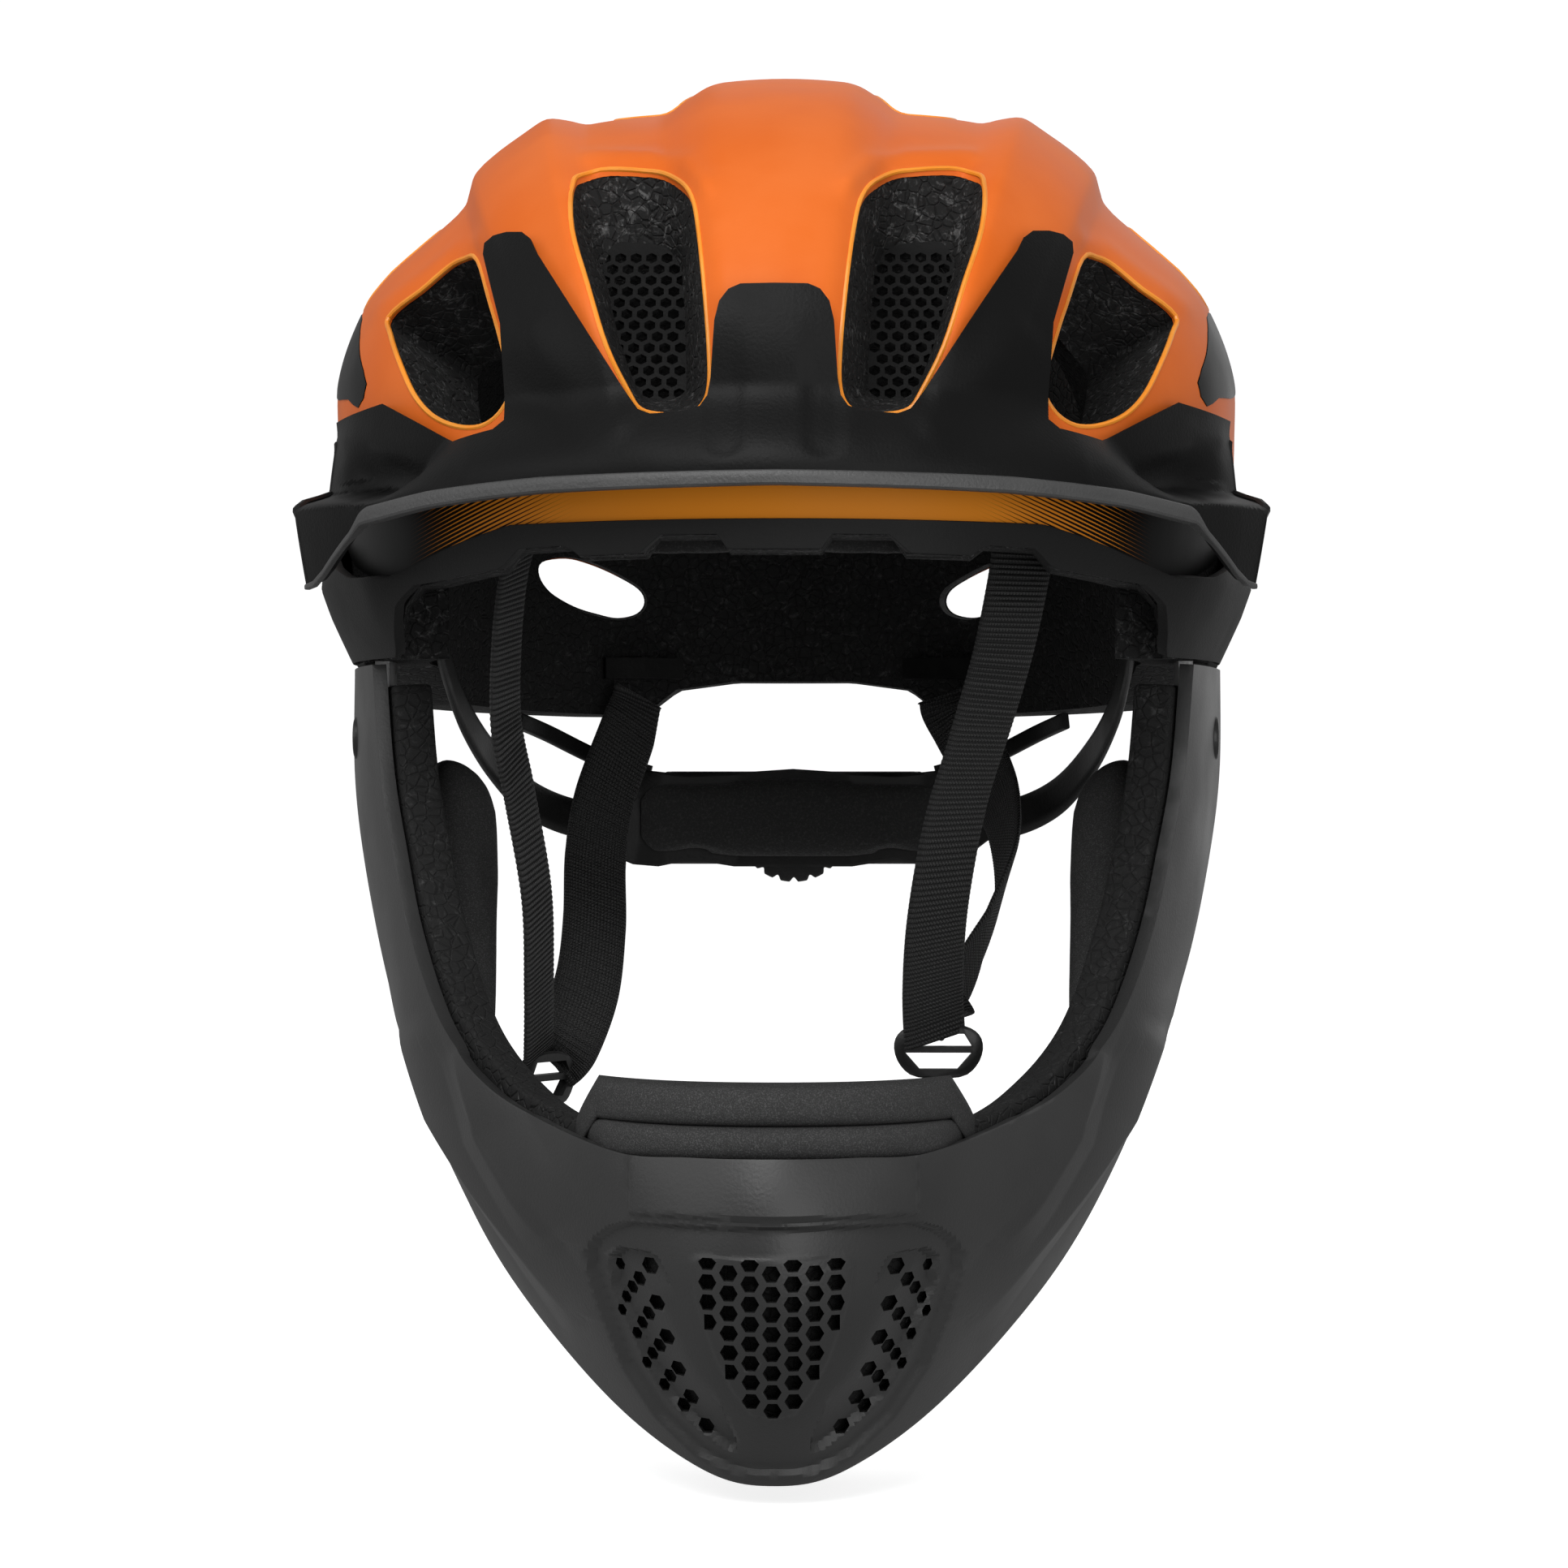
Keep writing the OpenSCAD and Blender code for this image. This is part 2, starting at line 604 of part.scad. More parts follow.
module hook_socket(side) {
    color(black) translate([side * hook_x, hook_y, 0]) difference() {
        translate([-hook_t / 2 - socket_wall, -hook_w / 2 - socket_wall, temple_z + 0.2])
            cube([hook_t + 2 * socket_wall, hook_w + 2 * socket_wall, hook_l + 1.6]);
        translate([-hook_t / 2 - 0.1, -hook_w / 2 - 0.1, temple_z - 1])
            cube([hook_t + 0.2, hook_w + 0.2, hook_l + 1.4]);
    }
}
button_r = 5;
button_y = -4;
button_in = 84;
button_l = 9.6;
button_z = -30;
module buttons(grow, long) {
    for (side = [-1, 1]) translate([side * (hook_x + 8), button_y, button_z]) rotate([0, 90, 0])
        cylinder(r = button_r + grow, h = long, center = true, $fn = 32);
}
module guard_button(side) {
    color(black) mirror([side < 0 ? 1 : 0, 0, 0]) translate([button_in, button_y, button_z])
        rotate([0, 90, 0]) cylinder(r = button_r, h = button_l, $fn = 32);
}
module guard_screws() {
    color(grey) for (side = [-1, 1], dy = [-5, 5])
        translate([side * (hook_x - hook_t / 2 - 0.05), hook_y + dy, guard_top - hook_tail + 5])
            rotate([0, -side * 90, 0]) cylinder(r = 2, h = screw_head, $fn = 24);
}

// Comfort pads on the wall of the head cavity, crowned in the middle
pad_gap = 0.35;
module cavity_pad(az0, az1, el0, el1, n = 8, m = 4) {
    function layer(full, out) = [for (i = [0 : n]) [for (j = [0 : m])
        cavity_pt(mix(az0, az1, i / n), mix(el0, el1, j / m),
            full * pad_t * (0.4 + 0.6 * crowned(i / n, j / m)) - out)]];
    color(soft_black) one_mesh() intersection() {
        slab(layer(0, 2), layer(1, 0));
        cavity(pad_gap);
    }
}

// Fit system: the cradle behind the head, its dial, racks and headband
cradle_y = 95;
cradle_z = -48;
cradle_w = 62;
cradle_h = 22;
cradle_d = 9;
cradle_wall = 3.5;
shaft_r = 1.45;
sleeve_r = 3;
run = 0.05;
dial_drop = 2;
dial_z = cradle_z - dial_drop;
dial_h = 7;
teeth = 12;
tooth_h = 0.6;
tooth_gap = 0.15;
rack_back = 2;
rack_t = 2;
rack_l = 34;
rack_near = pinion_r + tooth_h + tooth_gap;
rack_toothed = 14;
pinion_t = 3.6;
module cradle_body() {
    hollow = 2 * (rack_near + rack_back) + 0.6;
    long = 2 * cradle_d;
    color(black) translate([0, cradle_y, cradle_z]) difference() {
        translate([-cradle_w / 2, -cradle_d / 2, -cradle_h / 2]) cube([cradle_w, cradle_d, cradle_h]);
        translate([-cradle_w / 2 - 1, cradle_wall - cradle_d / 2, -dial_drop - hollow / 2])
            cube([cradle_w + 2, cradle_d, hollow]);
        translate([0, 0, -dial_drop]) rotate([90, 0, 0])
            cylinder(r = shaft_r + run, h = long, center = true, $fn = 24);
    }
}
module cradle_pad() {
    n = 10;
    m = 4;
    function layer(share) = [for (i = [0 : n]) [for (j = [0 : m])
        [(cradle_w - 4) * (i / n - 0.5),
            cradle_y - cradle_d / 2 - 0.3 - share * (0.8 + 3.4 * crowned(i / n, j / m)),
            cradle_z + (cradle_h - 2) * (j / m - 0.5)]]];
    color(soft_black) slab(layer(1), layer(0));
}
cover_t = 2;
module cradle_cover() {
    color(black) translate([0, cradle_y, cradle_z]) difference() {
        translate([-cradle_w / 2, cradle_d / 2 + 0.1, -cradle_h / 2]) cube([cradle_w, cover_t, cradle_h]);
        translate([0, cradle_d / 2, -dial_drop]) rotate([90, 0, 0])
            cylinder(r = sleeve_r + 2 * run, h = 4 * cover_t + 1, center = true, $fn = 32);
    }
}
// Height of the dial's inner face over the cradle's middle
dial_in = cradle_d / 2 + cover_t + 0.4;
grips = 20;
grip_r = 1.6;
module dial() {
    color(black) translate([0, cradle_y + dial_in, dial_z]) rotate([-90, 0, 0]) difference() {
        cylinder(r = dial_r, h = dial_h, $fn = 64);
        for (i = [0 : grips - 1]) rotate(i * 360 / grips) translate([dial_r + grip_r / 3, 0, -1])
            cylinder(r = grip_r, h = dial_h + 2, $fn = 16);
        translate([0, 0, -1]) cylinder(r = shaft_r + run, h = dial_h + 2, $fn = 24);
        translate([0, 0, dial_h - 3]) cylinder(r = sleeve_r + 0.2, h = 4, $fn = 24);
    }
}
module pinion() {
    pitch = 360 / teeth;
    color(grey) translate([0, cradle_y, dial_z]) rotate([-90, 0, 0]) difference() {
        union() {
            linear_extrude(pinion_t) polygon([for (i = [0 : teeth - 1],
                c = [[-0.3, -1], [-0.1, 1], [0.1, 1], [0.3, -1]])
                let (a = (i + 0.5 + c.x * 0.8) * pitch, r = pinion_r + c.y * tooth_h)
                [r * cos(a), r * sin(a)]]);
            cylinder(r = sleeve_r, h = dial_in - 0.1, $fn = 32);
        }
        translate([0, 0, -1]) cylinder(r = shaft_r + run, h = 20, $fn = 24);
    }
}
module dial_screw() {
    under_head = dial_in + dial_h - 3;
    color(grey) translate([0, cradle_y, dial_z]) rotate([-90, 0, 0]) {
        translate([0, 0, 0.3 - cradle_d / 2]) cylinder(r = shaft_r, h = cradle_d / 2 + under_head, $fn = 24);
        translate([0, 0, under_head + 0.1]) cylinder(r = sleeve_r, h = screw_head, $fn = 24);
    }
}
// Side 1 is the upper rack, which reaches to +X, and -1 the lower one
module rack(side) {
    pitch = 2 * PI * pinion_r / teeth;
    count = floor(rack_toothed / pitch);
    flip = side < 0 ? 1 : 0;
    color(black) translate([0, cradle_y + 0.3, dial_z]) mirror([flip, 0, 0]) mirror([0, 0, flip])
        rotate([90, 0, 0]) mirror([0, 0, 1]) linear_extrude(rack_t) polygon(concat(
            [[-7, rack_near + rack_back], [-7, rack_near]],
            [for (i = [-2 : count], c = [[-0.55, 0], [-0.3, -2], [0.3, -2], [0.55, 0]])
                [i * pitch + c.x, rack_near + c.y * tooth_h * 0.9]],
            [[rack_l - 6, rack_near], [rack_l - 6, rack_near + rack_back]]));
}

// Route of the headband from the rack's end round to the temple, and of the strut up to the liner
strut_w = 4;
strut_t = 2;
strut_route = [[34, 94, -37.6], [46, 94, -34], [58, 86, -28], [64, 76, -25.2]];
band_route = [[28.5, 96.3, -48], [40, 96, -49], [52, 89, -48], [62, 75, -43], [69, 55, -34], [73, 30, -24],
    [74.5, 5, -14], [74.6, -12, -8]];
module ribbon(route, wide, thick, up = [0, 0, 1]) {
    n = len(route) - 1;
    function along(i) = unit(route[min(i + 1, n)] - route[max(i - 1, 0)]);
    function across(i) = unit(up - (up * along(i)) * along(i)) * wide / 2;
    function out(i) = unit(cross(along(i), across(i))) * thick / 2;
    slab([for (i = [0 : n]) [route[i] + across(i) - out(i), route[i] - across(i) - out(i)]],
        [for (i = [0 : n]) [route[i] + across(i) + out(i), route[i] - across(i) + out(i)]]);
}
module band(side) {
    color(black) mirror([side < 0 ? 1 : 0, 0, 0]) ribbon(band_route, band_w, band_t);
}
module strut(side) {
    color(black) mirror([side < 0 ? 1 : 0, 0, 0])
        ribbon(strut_route, strut_w, strut_t);
}

// Webbing: routes of the front, rear and chin straps. The upper ends lie inside the head cavity's wall.
front_route_right = [[49.5, head_front + 22, 9], [48.5, head_front + 23.5, 2],
    [45.5, head_front + 28, -13], [41, -60, -29], [36, -53, -46], [32.5, -45, -66], [31.5, -38, -82],
    [32, -33, -91]];
front_route_left = [[-52.5, head_front + 29, 9], [-54.8, head_front + 32, 1],
    [-56.3, head_front + 35, -13], [-56.5, -55, -28], [-54, -50, -43], [-51, -45, -63],
    [-51, -38, -82], [-51.5, -33, -97]];
rear_route_right = [[36.6, head_back - 13.2, -18.6], [39, head_back - 17, -25], [46, 66, -39],
    [49, 48, -48], [48.5, 22, -60], [43, -4, -73], [37, -19, -84], [35, -24, -91]];
rear_route_left = [[-36.6, head_back - 13.2, -19], [-39, head_back - 17, -26], [-47, 62, -43],
    [-45.5, 42, -54], [-41, 22, -64], [-40, 0, -77], [-44, -17, -91], [-48, -24, -96]];
chin_route_right = [[32.5, -30, -102], [31, -31, -116], [25, -32, -130], [17.5, -33, -138.5],
    [15.1, -33, -140]];
chin_route_left = [[-50, -30, -108], [-46, -31, -120], [-36, -32, -132], [-21, -33, -139],
    [-15.8, -33, -140]];
module webbing(route, wide_way) {
    color(black) ribbon(route, strap_w, strap_t, wide_way);
}

// Anchors of the straps, set into the foam at the wall of the head cavity
anchor_d = 6;
anchor_h = 5;
front_anchor = [50, head_front + 17, 12.4];
rear_anchor = [36, head_back - 10, -12.6];
// the brow pad stops short of the anchors in front
brow_half = front_anchor.x - strap_w / 2 - 2;
brow_turn = atan(brow_half / (head_l / 2 - 10.2));
module anchor_boxes(place, turn, grow) {
    size = [strap_w + 4, anchor_d, anchor_h] + 2 * grow * [1, 1, 1];
    for (side = [-1, 1]) translate([side * place.x, place.y, place.z]) rotate(side * turn)
        cube(size, center = true);
}
module front_anchor_boxes(grow) {
    anchor_boxes(front_anchor, 28, grow);
}
module rear_anchor_boxes(grow) {
    anchor_boxes(rear_anchor, -18, grow);
}
module front_anchors() {
    color(black) front_anchor_boxes(0);
}
module rear_anchors() {
    color(black) rear_anchor_boxes(0);
}

// Strap dividers: a three-cornered ring with a bar across, below each ear
divider_right = [32.8, -29, -96.5];
divider_left = [-50, -29, -102.5];
divider_t = 2.6;
module divider(place, turn) {
    half = strap_w / 2;
    color(black) translate(place) rotate([90, 0, turn]) linear_extrude(divider_t, center = true)
        difference() {
            polygon([[-half - 2, 1], [-half, 4.6], [half, 4.6], [half + 2, 1], [3, -4.6], [-3, -4.6]]);
            translate([-half + 1.5, 1.6]) square([strap_w - 3, 1.8]);
            polygon([[-half + 1.5, 0.2], [half - 1.5, 0.2], [2.2, -3], [-2.2, -3]]);
        }
}

// Buckle under the chin: the tongue slides out of the socket to +X
buckle_y = -33;
buckle_z = -140;
buckle_t = 8;
tongue_t = 3.6;
slip = 0.2;
module buckle_socket() {
    color(black) translate([-15.5, buckle_y, buckle_z]) difference() {
        translate([0, -buckle_w / 2, -buckle_t / 2]) cube([18, buckle_w, buckle_t]);
        translate([4, -buckle_w / 2 + 3 - slip, -tongue_t / 2 - slip])
            cube([20, buckle_w - 6 + 2 * slip, tongue_t + 2 * slip]);
        translate([6, -buckle_w / 2 - 1, -tongue_t / 2 - slip]) cube([7, 5, tongue_t + 2 * slip]);
    }
}
module buckle_tongue() {
    color(black) translate([0, buckle_y, buckle_z]) difference() {
        union() {
            translate([-11, -buckle_w / 2 + 3, -tongue_t / 2]) cube([20, buckle_w - 6, tongue_t]);
            translate([3, -buckle_w / 2, -buckle_t / 2 + 1]) cube([11.5, buckle_w, buckle_t - 2]);
        }
        translate([-12, -buckle_w / 2 + 7, -3]) cube([12, buckle_w - 14, 6]);
        translate([7, -strap_w / 2, -5]) cube([3, strap_w, 10]);
    }
}

outer_shell();
foam_liner(-1);  // foam_liner_left
foam_liner(1);  // foam_liner_right
lower_shell();
side_panel(-1);  // side_panel_left
side_panel(1);  // side_panel_right
visor();
net(-1);  // net_left
net(1);  // net_right
guard_shell();
guard_liner();
chin_pad();
cheek_pad(-1);  // cheek_pad_left
cheek_pad(1);  // cheek_pad_right
guard_hooks();
hook_socket(-1);  // hook_socket_left
hook_socket(1);  // hook_socket_right
guard_button(-1);  // guard_button_left
guard_button(1);  // guard_button_right
guard_screws();
cavity_pad(-brow_turn, brow_turn, 3, 15, 8, 4);  // brow_pad
cavity_pad(-11, 11, 42, 80, 4, 6);  // crown_pad
cavity_pad(-104, -66, 4, 17, 6, 4);  // side_pad_left
cavity_pad(66, 104, 4, 17, 6, 4);  // side_pad_right
cradle_body();
cradle_cover();
cradle_pad();
dial();
pinion();
dial_screw();
rack(-1);  // rack_left
rack(1);  // rack_right
band(-1);  // band_left
band(1);  // band_right
strut(-1);  // strut_left
strut(1);  // strut_right
webbing(front_route_left, [-0.15, 1, 0.3]);  // front_strap_left
webbing(front_route_right, [1, 0.5, 0.35]);  // front_strap_right
webbing(rear_route_left, [1, 0.4, 0]);  // rear_strap_left
webbing(rear_route_right, [0.3, 0.4, 1]);  // rear_strap_right
divider(divider_left, 60);
divider(divider_right, 0);
webbing(chin_route_left, [0, 1, 0]);  // chin_strap_left
webbing(chin_route_right, [0, 1, 0]);  // chin_strap_right
buckle_socket();
buckle_tongue();
front_anchors();
rear_anchors();
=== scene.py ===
import json
import math

import bpy
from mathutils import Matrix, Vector


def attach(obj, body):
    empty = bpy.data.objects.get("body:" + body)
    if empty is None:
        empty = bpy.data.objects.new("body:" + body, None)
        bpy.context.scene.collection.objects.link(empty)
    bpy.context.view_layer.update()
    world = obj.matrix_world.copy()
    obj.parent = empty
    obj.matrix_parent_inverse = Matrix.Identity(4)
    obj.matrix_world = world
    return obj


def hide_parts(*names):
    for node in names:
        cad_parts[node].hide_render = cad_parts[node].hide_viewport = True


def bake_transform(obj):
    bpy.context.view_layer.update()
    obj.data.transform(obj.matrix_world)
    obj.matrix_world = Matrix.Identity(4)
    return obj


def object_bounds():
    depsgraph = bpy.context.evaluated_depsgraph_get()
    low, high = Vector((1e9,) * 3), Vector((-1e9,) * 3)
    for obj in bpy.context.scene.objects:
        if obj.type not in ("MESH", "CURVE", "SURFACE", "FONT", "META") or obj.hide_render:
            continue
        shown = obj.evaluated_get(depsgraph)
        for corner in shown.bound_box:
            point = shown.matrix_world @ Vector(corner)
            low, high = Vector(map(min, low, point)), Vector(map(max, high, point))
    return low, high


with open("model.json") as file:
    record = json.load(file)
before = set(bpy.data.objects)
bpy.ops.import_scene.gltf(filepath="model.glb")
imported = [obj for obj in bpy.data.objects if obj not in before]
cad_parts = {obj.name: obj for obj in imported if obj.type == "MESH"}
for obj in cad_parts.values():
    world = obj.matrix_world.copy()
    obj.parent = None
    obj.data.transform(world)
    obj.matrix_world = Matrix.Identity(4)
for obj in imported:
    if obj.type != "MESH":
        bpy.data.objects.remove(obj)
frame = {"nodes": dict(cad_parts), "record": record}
cadBox = [list(corner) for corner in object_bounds()]
mm = 0.001
print("frame loaded")


# camera, as far off and as high as the photograph's
view = {"lens": 105.5, "distance": 0.98, "height": -0.04, "turn": 1.1, "middle": (0, -0.02)}

turn = math.radians(view["turn"])
bpy.ops.object.camera_add(
    location=(view["middle"][0] + view["distance"] * math.sin(turn),
              view["middle"][1] - view["distance"] * math.cos(turn), view["height"]),
    rotation=(math.pi / 2, 0, turn))
camera = bpy.context.object
camera.data.lens = view["lens"]
camera.data.sensor_width = 36
camera.data.clip_start = 0.05
bpy.context.scene.camera = camera


# numbers
def mix(a, b, k):
    return a + (b - a) * k


def turns(count, start=0.0):  # equal turns round a circle
    return [start + 2 * math.pi * i / count for i in range(count)]


def bothSides(half):  # an outline from its right half, whose first point is on the middle line
    return [(-x, z) for x, z in reversed(half)] + list(half[1:])


def rectangle(left, right, low, high):
    return [(left, low), (right, low), (right, high), (left, high)]


def hexagon(x, z, wide, tall, lean=0.0):
    return [(x + wide * math.cos(a) + lean * math.sin(a), z + tall * math.sin(a)) for a in turns(6)]


def smooth(v):
    k = min(max(v, 0), 1)
    return k * k * (3 - 2 * k)


def lookUp(v, table):
    if v <= table[0][0]:
        return table[0][1]
    for (a, b), (c, d) in zip(table, table[1:]):
        if v <= c:
            return mix(b, d, (v - a) / (c - a))
    return table[-1][1]


def spread(stops):  # values from stop to stop, each with its own number of steps
    values = [stops[0][0]]
    for (a, _), (b, steps) in zip(stops, stops[1:]):
        values += [mix(a, b, i / steps) for i in range(1, steps + 1)]
    return values


def passBy(a, b, c, d, f):  # from b to c, with a before and d after them
    bend, twist = 2 * a - 5 * b + 4 * c - d, 3 * b - a - 3 * c + d
    return 0.5 * (2 * b + (c - a) * f + bend * f * f + twist * f ** 3)


def curveAt(points, k):  # a smooth curve through the points, k from 0 to 1
    last = len(points) - 1
    i = min(max(int(k * last), 0), last - 1)
    return passBy(*(Vector(points[min(max(i + j, 0), last)]) for j in (-1, 0, 1, 2)), k * last - i)


def roundLoop(points, steps=6):  # a smooth closed curve through the points
    n, line = len(points), []
    for i in range(n):
        near = [Vector(points[(i + k) % n]) for k in (-1, 0, 1, 2)]
        line += [passBy(*near, j / steps) for j in range(steps)]
    return line


def lineGap(x, z, points):  # distance from a place to a line of points, and how far along it is
    best = (1e9, 0)
    for i, ((ax, az), (bx, bz)) in enumerate(zip(points, points[1:])):
        dx, dz = bx - ax, bz - az
        k = min(max(((x - ax) * dx + (z - az) * dz) / (dx * dx + dz * dz), 0), 1)
        best = min(best, (math.hypot(x - ax - dx * k, z - az - dz * k), (i + k) / (len(points) - 1)))
    return best


def inside(x, z, points):
    odd = False
    for (ax, az), (bx, bz) in zip(points, points[1:] + points[:1]):
        if (az > z) != (bz > z) and x < (bx - ax) * (z - az) / (bz - az) + ax:
            odd = not odd
    return odd


def depthIn(x, z, points):  # distance to the outline, positive inside it
    gap = lineGap(x, z, points + points[:1])[0]
    return gap if inside(x, z, points) else -gap


# work in the viewport, without one
def deselect():
    if bpy.context.mode != "OBJECT":
        bpy.ops.object.mode_set(mode="OBJECT")
    bpy.ops.object.select_all(action="DESELECT")


def pick(*objs):
    deselect()
    for obj in objs:
        obj.select_set(True)
    bpy.context.view_layer.objects.active = objs[0]
    return objs[0]


def modify(obj, kind, **settings):
    pick(obj)
    modifier = obj.modifiers.new(kind, kind)
    for key, value in settings.items():
        setattr(modifier, key, value)
    bpy.ops.object.modifier_apply(modifier=modifier.name)
    return obj


def inEditMode(obj, *steps):
    pick(obj)
    bpy.ops.object.mode_set(mode="EDIT")
    bpy.ops.mesh.select_all(action="SELECT")
    for step in steps:
        step()
    bpy.ops.object.mode_set(mode="OBJECT")
    return obj


def weld():
    bpy.ops.mesh.remove_doubles(threshold=0.00001)


def faceOut():
    bpy.ops.mesh.select_all(action="SELECT")
    bpy.ops.mesh.normals_make_consistent(inside=False)


def closeEnds():
    bpy.ops.mesh.select_all(action="DESELECT")
    bpy.ops.mesh.select_non_manifold()
    bpy.ops.mesh.fill_holes(sides=0)


def gridPiece(name, columns, rows, place):  # a grid laid on a surface; place takes 0 to 1 both ways
    deselect()
    bpy.ops.mesh.primitive_grid_add(x_subdivisions=columns, y_subdivisions=rows, size=1)
    obj = bpy.context.object
    obj.name = obj.data.name = name
    for v in obj.data.vertices:
        v.co = Vector(place(v.co.x + 0.5, v.co.y + 0.5)) * mm
    return obj


def loft(name, rings):  # a closed skin over rings of points, with its ends filled
    n, last = len(rings[0]), len(rings) - 1
    obj = gridPiece(name, n, last, lambda u, v: rings[round(v * last)][round(u * n) % n])
    return inEditMode(obj, weld, closeEnds, faceOut)


def prism(name, outline, toSpace, low, high):  # an outline pushed through from one depth to another
    return loft(name, [[toSpace(a, b, depth) for a, b in outline] for depth in (low, high)])


def cut(obj, tool, operation="DIFFERENCE"):
    modify(obj, "BOOLEAN", object=tool, operation=operation, solver="MANIFOLD")
    bpy.data.objects.remove(tool)
    return obj


def tubePiece(name, path, radius, sides=8, closed=False):
    n, rings = len(path), []
    for i in range(n):
        ahead = path[(i + 1) % n if closed else min(i + 1, n - 1)]
        behind = path[i - 1 if closed else max(i - 1, 0)]
        along = (Vector(ahead) - Vector(behind)).normalized()
        across = (across - across.dot(along) * along if rings else along.orthogonal()).normalized()
        up = along.cross(across)
        rings.append([Vector(path[i]) + radius * (math.cos(a) * across + math.sin(a) * up)
                      for a in turns(sides)])
    if not closed:
        return loft(name, rings)
    obj = gridPiece(name, sides, n, lambda u, v: rings[round(v * n) % n][round(u * sides) % sides])
    return inEditMode(obj, weld, faceOut)


def thicken(obj, thickness):
    return modify(obj, "SOLIDIFY", thickness=thickness * mm, offset=-1)


def softenEdges(obj, width):
    return modify(obj, "BEVEL", width=width * mm, segments=3, limit_method="ANGLE",
                  angle_limit=math.radians(50))


def join(*objs):
    pick(*objs)
    bpy.ops.object.join()
    return bpy.context.object


def mirrored(obj, name):
    pick(obj)
    bpy.ops.object.duplicate()
    twin = bpy.context.object
    twin.name = twin.data.name = name
    for v in twin.data.vertices:
        v.co.x = -v.co.x
    return inEditMode(twin, bpy.ops.mesh.flip_normals)


def paintWith(obj, material):
    obj.data.materials.clear()
    obj.data.materials.append(material)
    return obj


def dress(obj, body, slotName, *nodes, look=None, angle=35):
    pick(obj)
    bpy.ops.object.shade_smooth_by_angle(angle=math.radians(angle))
    if not any(obj.data.materials):
        paintWith(obj, finish[look or slotName])
    if body:
        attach(obj, body)
    if nodes:
        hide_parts(*nodes)
    return obj


def dressPair(obj, body, slotName, node):  # a right piece and its mirror image on the left
    twin = mirrored(obj, obj.name.replace("Right", "Left"))
    return [dress(piece, body, slotName, node + side) for piece, side in ((obj, "_right"), (twin, "_left"))]


# materials
def feed(tree, socket, value):
    if isinstance(value, bpy.types.NodeSocket):
        tree.links.new(value, socket)
    else:
        socket.default_value = value


def addNode(tree, kind, inputs=None, **settings):
    node = tree.nodes.new(kind)
    for key, value in settings.items():
        setattr(node, key, value)
    for key, value in (inputs or {}).items():
        feed(tree, node.inputs[key], value)
    return node


kinds = {"Vector": "Vector", "Normal": "Vector", **dict.fromkeys(("Colour", "Worn", "Dark", "Pale"), "Color")}


def newGroup(name, inputs, outputs):  # gives the new tree, its inputs' sockets and its outputs by name
    group, names = bpy.data.node_groups.new(name, "ShaderNodeTree"), inputs.split()
    for way, sockets in (("INPUT", names), ("OUTPUT", outputs.split())):
        for socketName in sockets:
            kind = kinds.get(socketName, "Float")
            group.interface.new_socket(socketName, in_out=way, socket_type="NodeSocket" + kind)
    given = group.nodes.new("NodeGroupInput").outputs[:len(names)]
    return group, given, group.nodes.new("NodeGroupOutput").inputs


def maths(tree, operation, a, b=0.5, c=0.5):
    return addNode(tree, "ShaderNodeMath", {0: a, 1: b, 2: c}, operation=operation).outputs[0]


def between(tree, value, low, high, toLow=0.0, toHigh=1.0):
    return addNode(tree, "ShaderNodeMapRange", {"Value": value, "From Min": low, "From Max": high,
                   "To Min": toLow, "To Max": toHigh}, interpolation_type="SMOOTHSTEP").outputs[0]


def blendColour(tree, factor, a, b):
    node = addNode(tree, "ShaderNodeMix", {"Factor": factor}, data_type="RGBA")
    feed(tree, node.inputs[6], a)
    feed(tree, node.inputs[7], b)
    return node.outputs[2]


def grey(value):
    return (value, value, value, 1)


def giveOut(tree, result, **sockets):
    for name, socket in sockets.items():
        tree.links.new(socket, result[name])
    return tree


def bumpFrom(tree, height, strength, distance):
    inputs = {"Height": height, "Strength": strength, "Distance": distance}
    return addNode(tree, "ShaderNodeBump", inputs).outputs[0]


def noiseOver(tree, place, scale, detail, **more):
    inputs = {"Vector": place, "Scale": scale, "Detail": detail, **more}
    return addNode(tree, "ShaderNodeTexNoise", inputs).outputs[0]


def makeGrain():  # moulded plastic's fine grain, with a slow drift of its gloss
    tree, given, result = newGroup("mouldedGrain", "Vector Scale Depth Dullest Glossiest",
                                   "Normal Roughness Drift")
    place, scale, depth, dullest, glossiest = given
    fine = noiseOver(tree, place, scale, 3.0)
    drift = between(tree, noiseOver(tree, place, 34.0, 4.0), 0.3, 0.7)
    rough = addNode(tree, "ShaderNodeMapRange", {"Value": drift, "To Min": glossiest, "To Max": dullest})
    normal = bumpFrom(tree, fine, depth, 0.0002)
    return giveOut(tree, result, Normal=normal, Roughness=rough.outputs[0], Drift=drift)


def makePaintedEdgeHighlight():  # edges painted paler as a painted highlight, broken up by a noise
    tree, (place, colour, worn, amount), result = newGroup("paintedEdgeHighlight", "Vector Colour Worn Amount", "Colour")
    ridge = between(tree, addNode(tree, "ShaderNodeNewGeometry").outputs["Pointiness"], 0.52, 0.6)
    patch = between(tree, noiseOver(tree, place, 160.0, 5.0), 0.35, 0.65)
    mask = maths(tree, "MULTIPLY", maths(tree, "MULTIPLY", ridge, patch), amount)
    return giveOut(tree, result, Colour=blendColour(tree, mask, colour, worn))


def finishCoat(tree, result, mask, dark, pale, height, depth, distance, shine, dull, glossy):
    return giveOut(tree, result, Colour=blendColour(tree, mask, dark, pale),
                   Normal=bumpFrom(tree, height, depth, distance),
                   Roughness=between(tree, shine, 0.0, 1.0, dull, glossy))


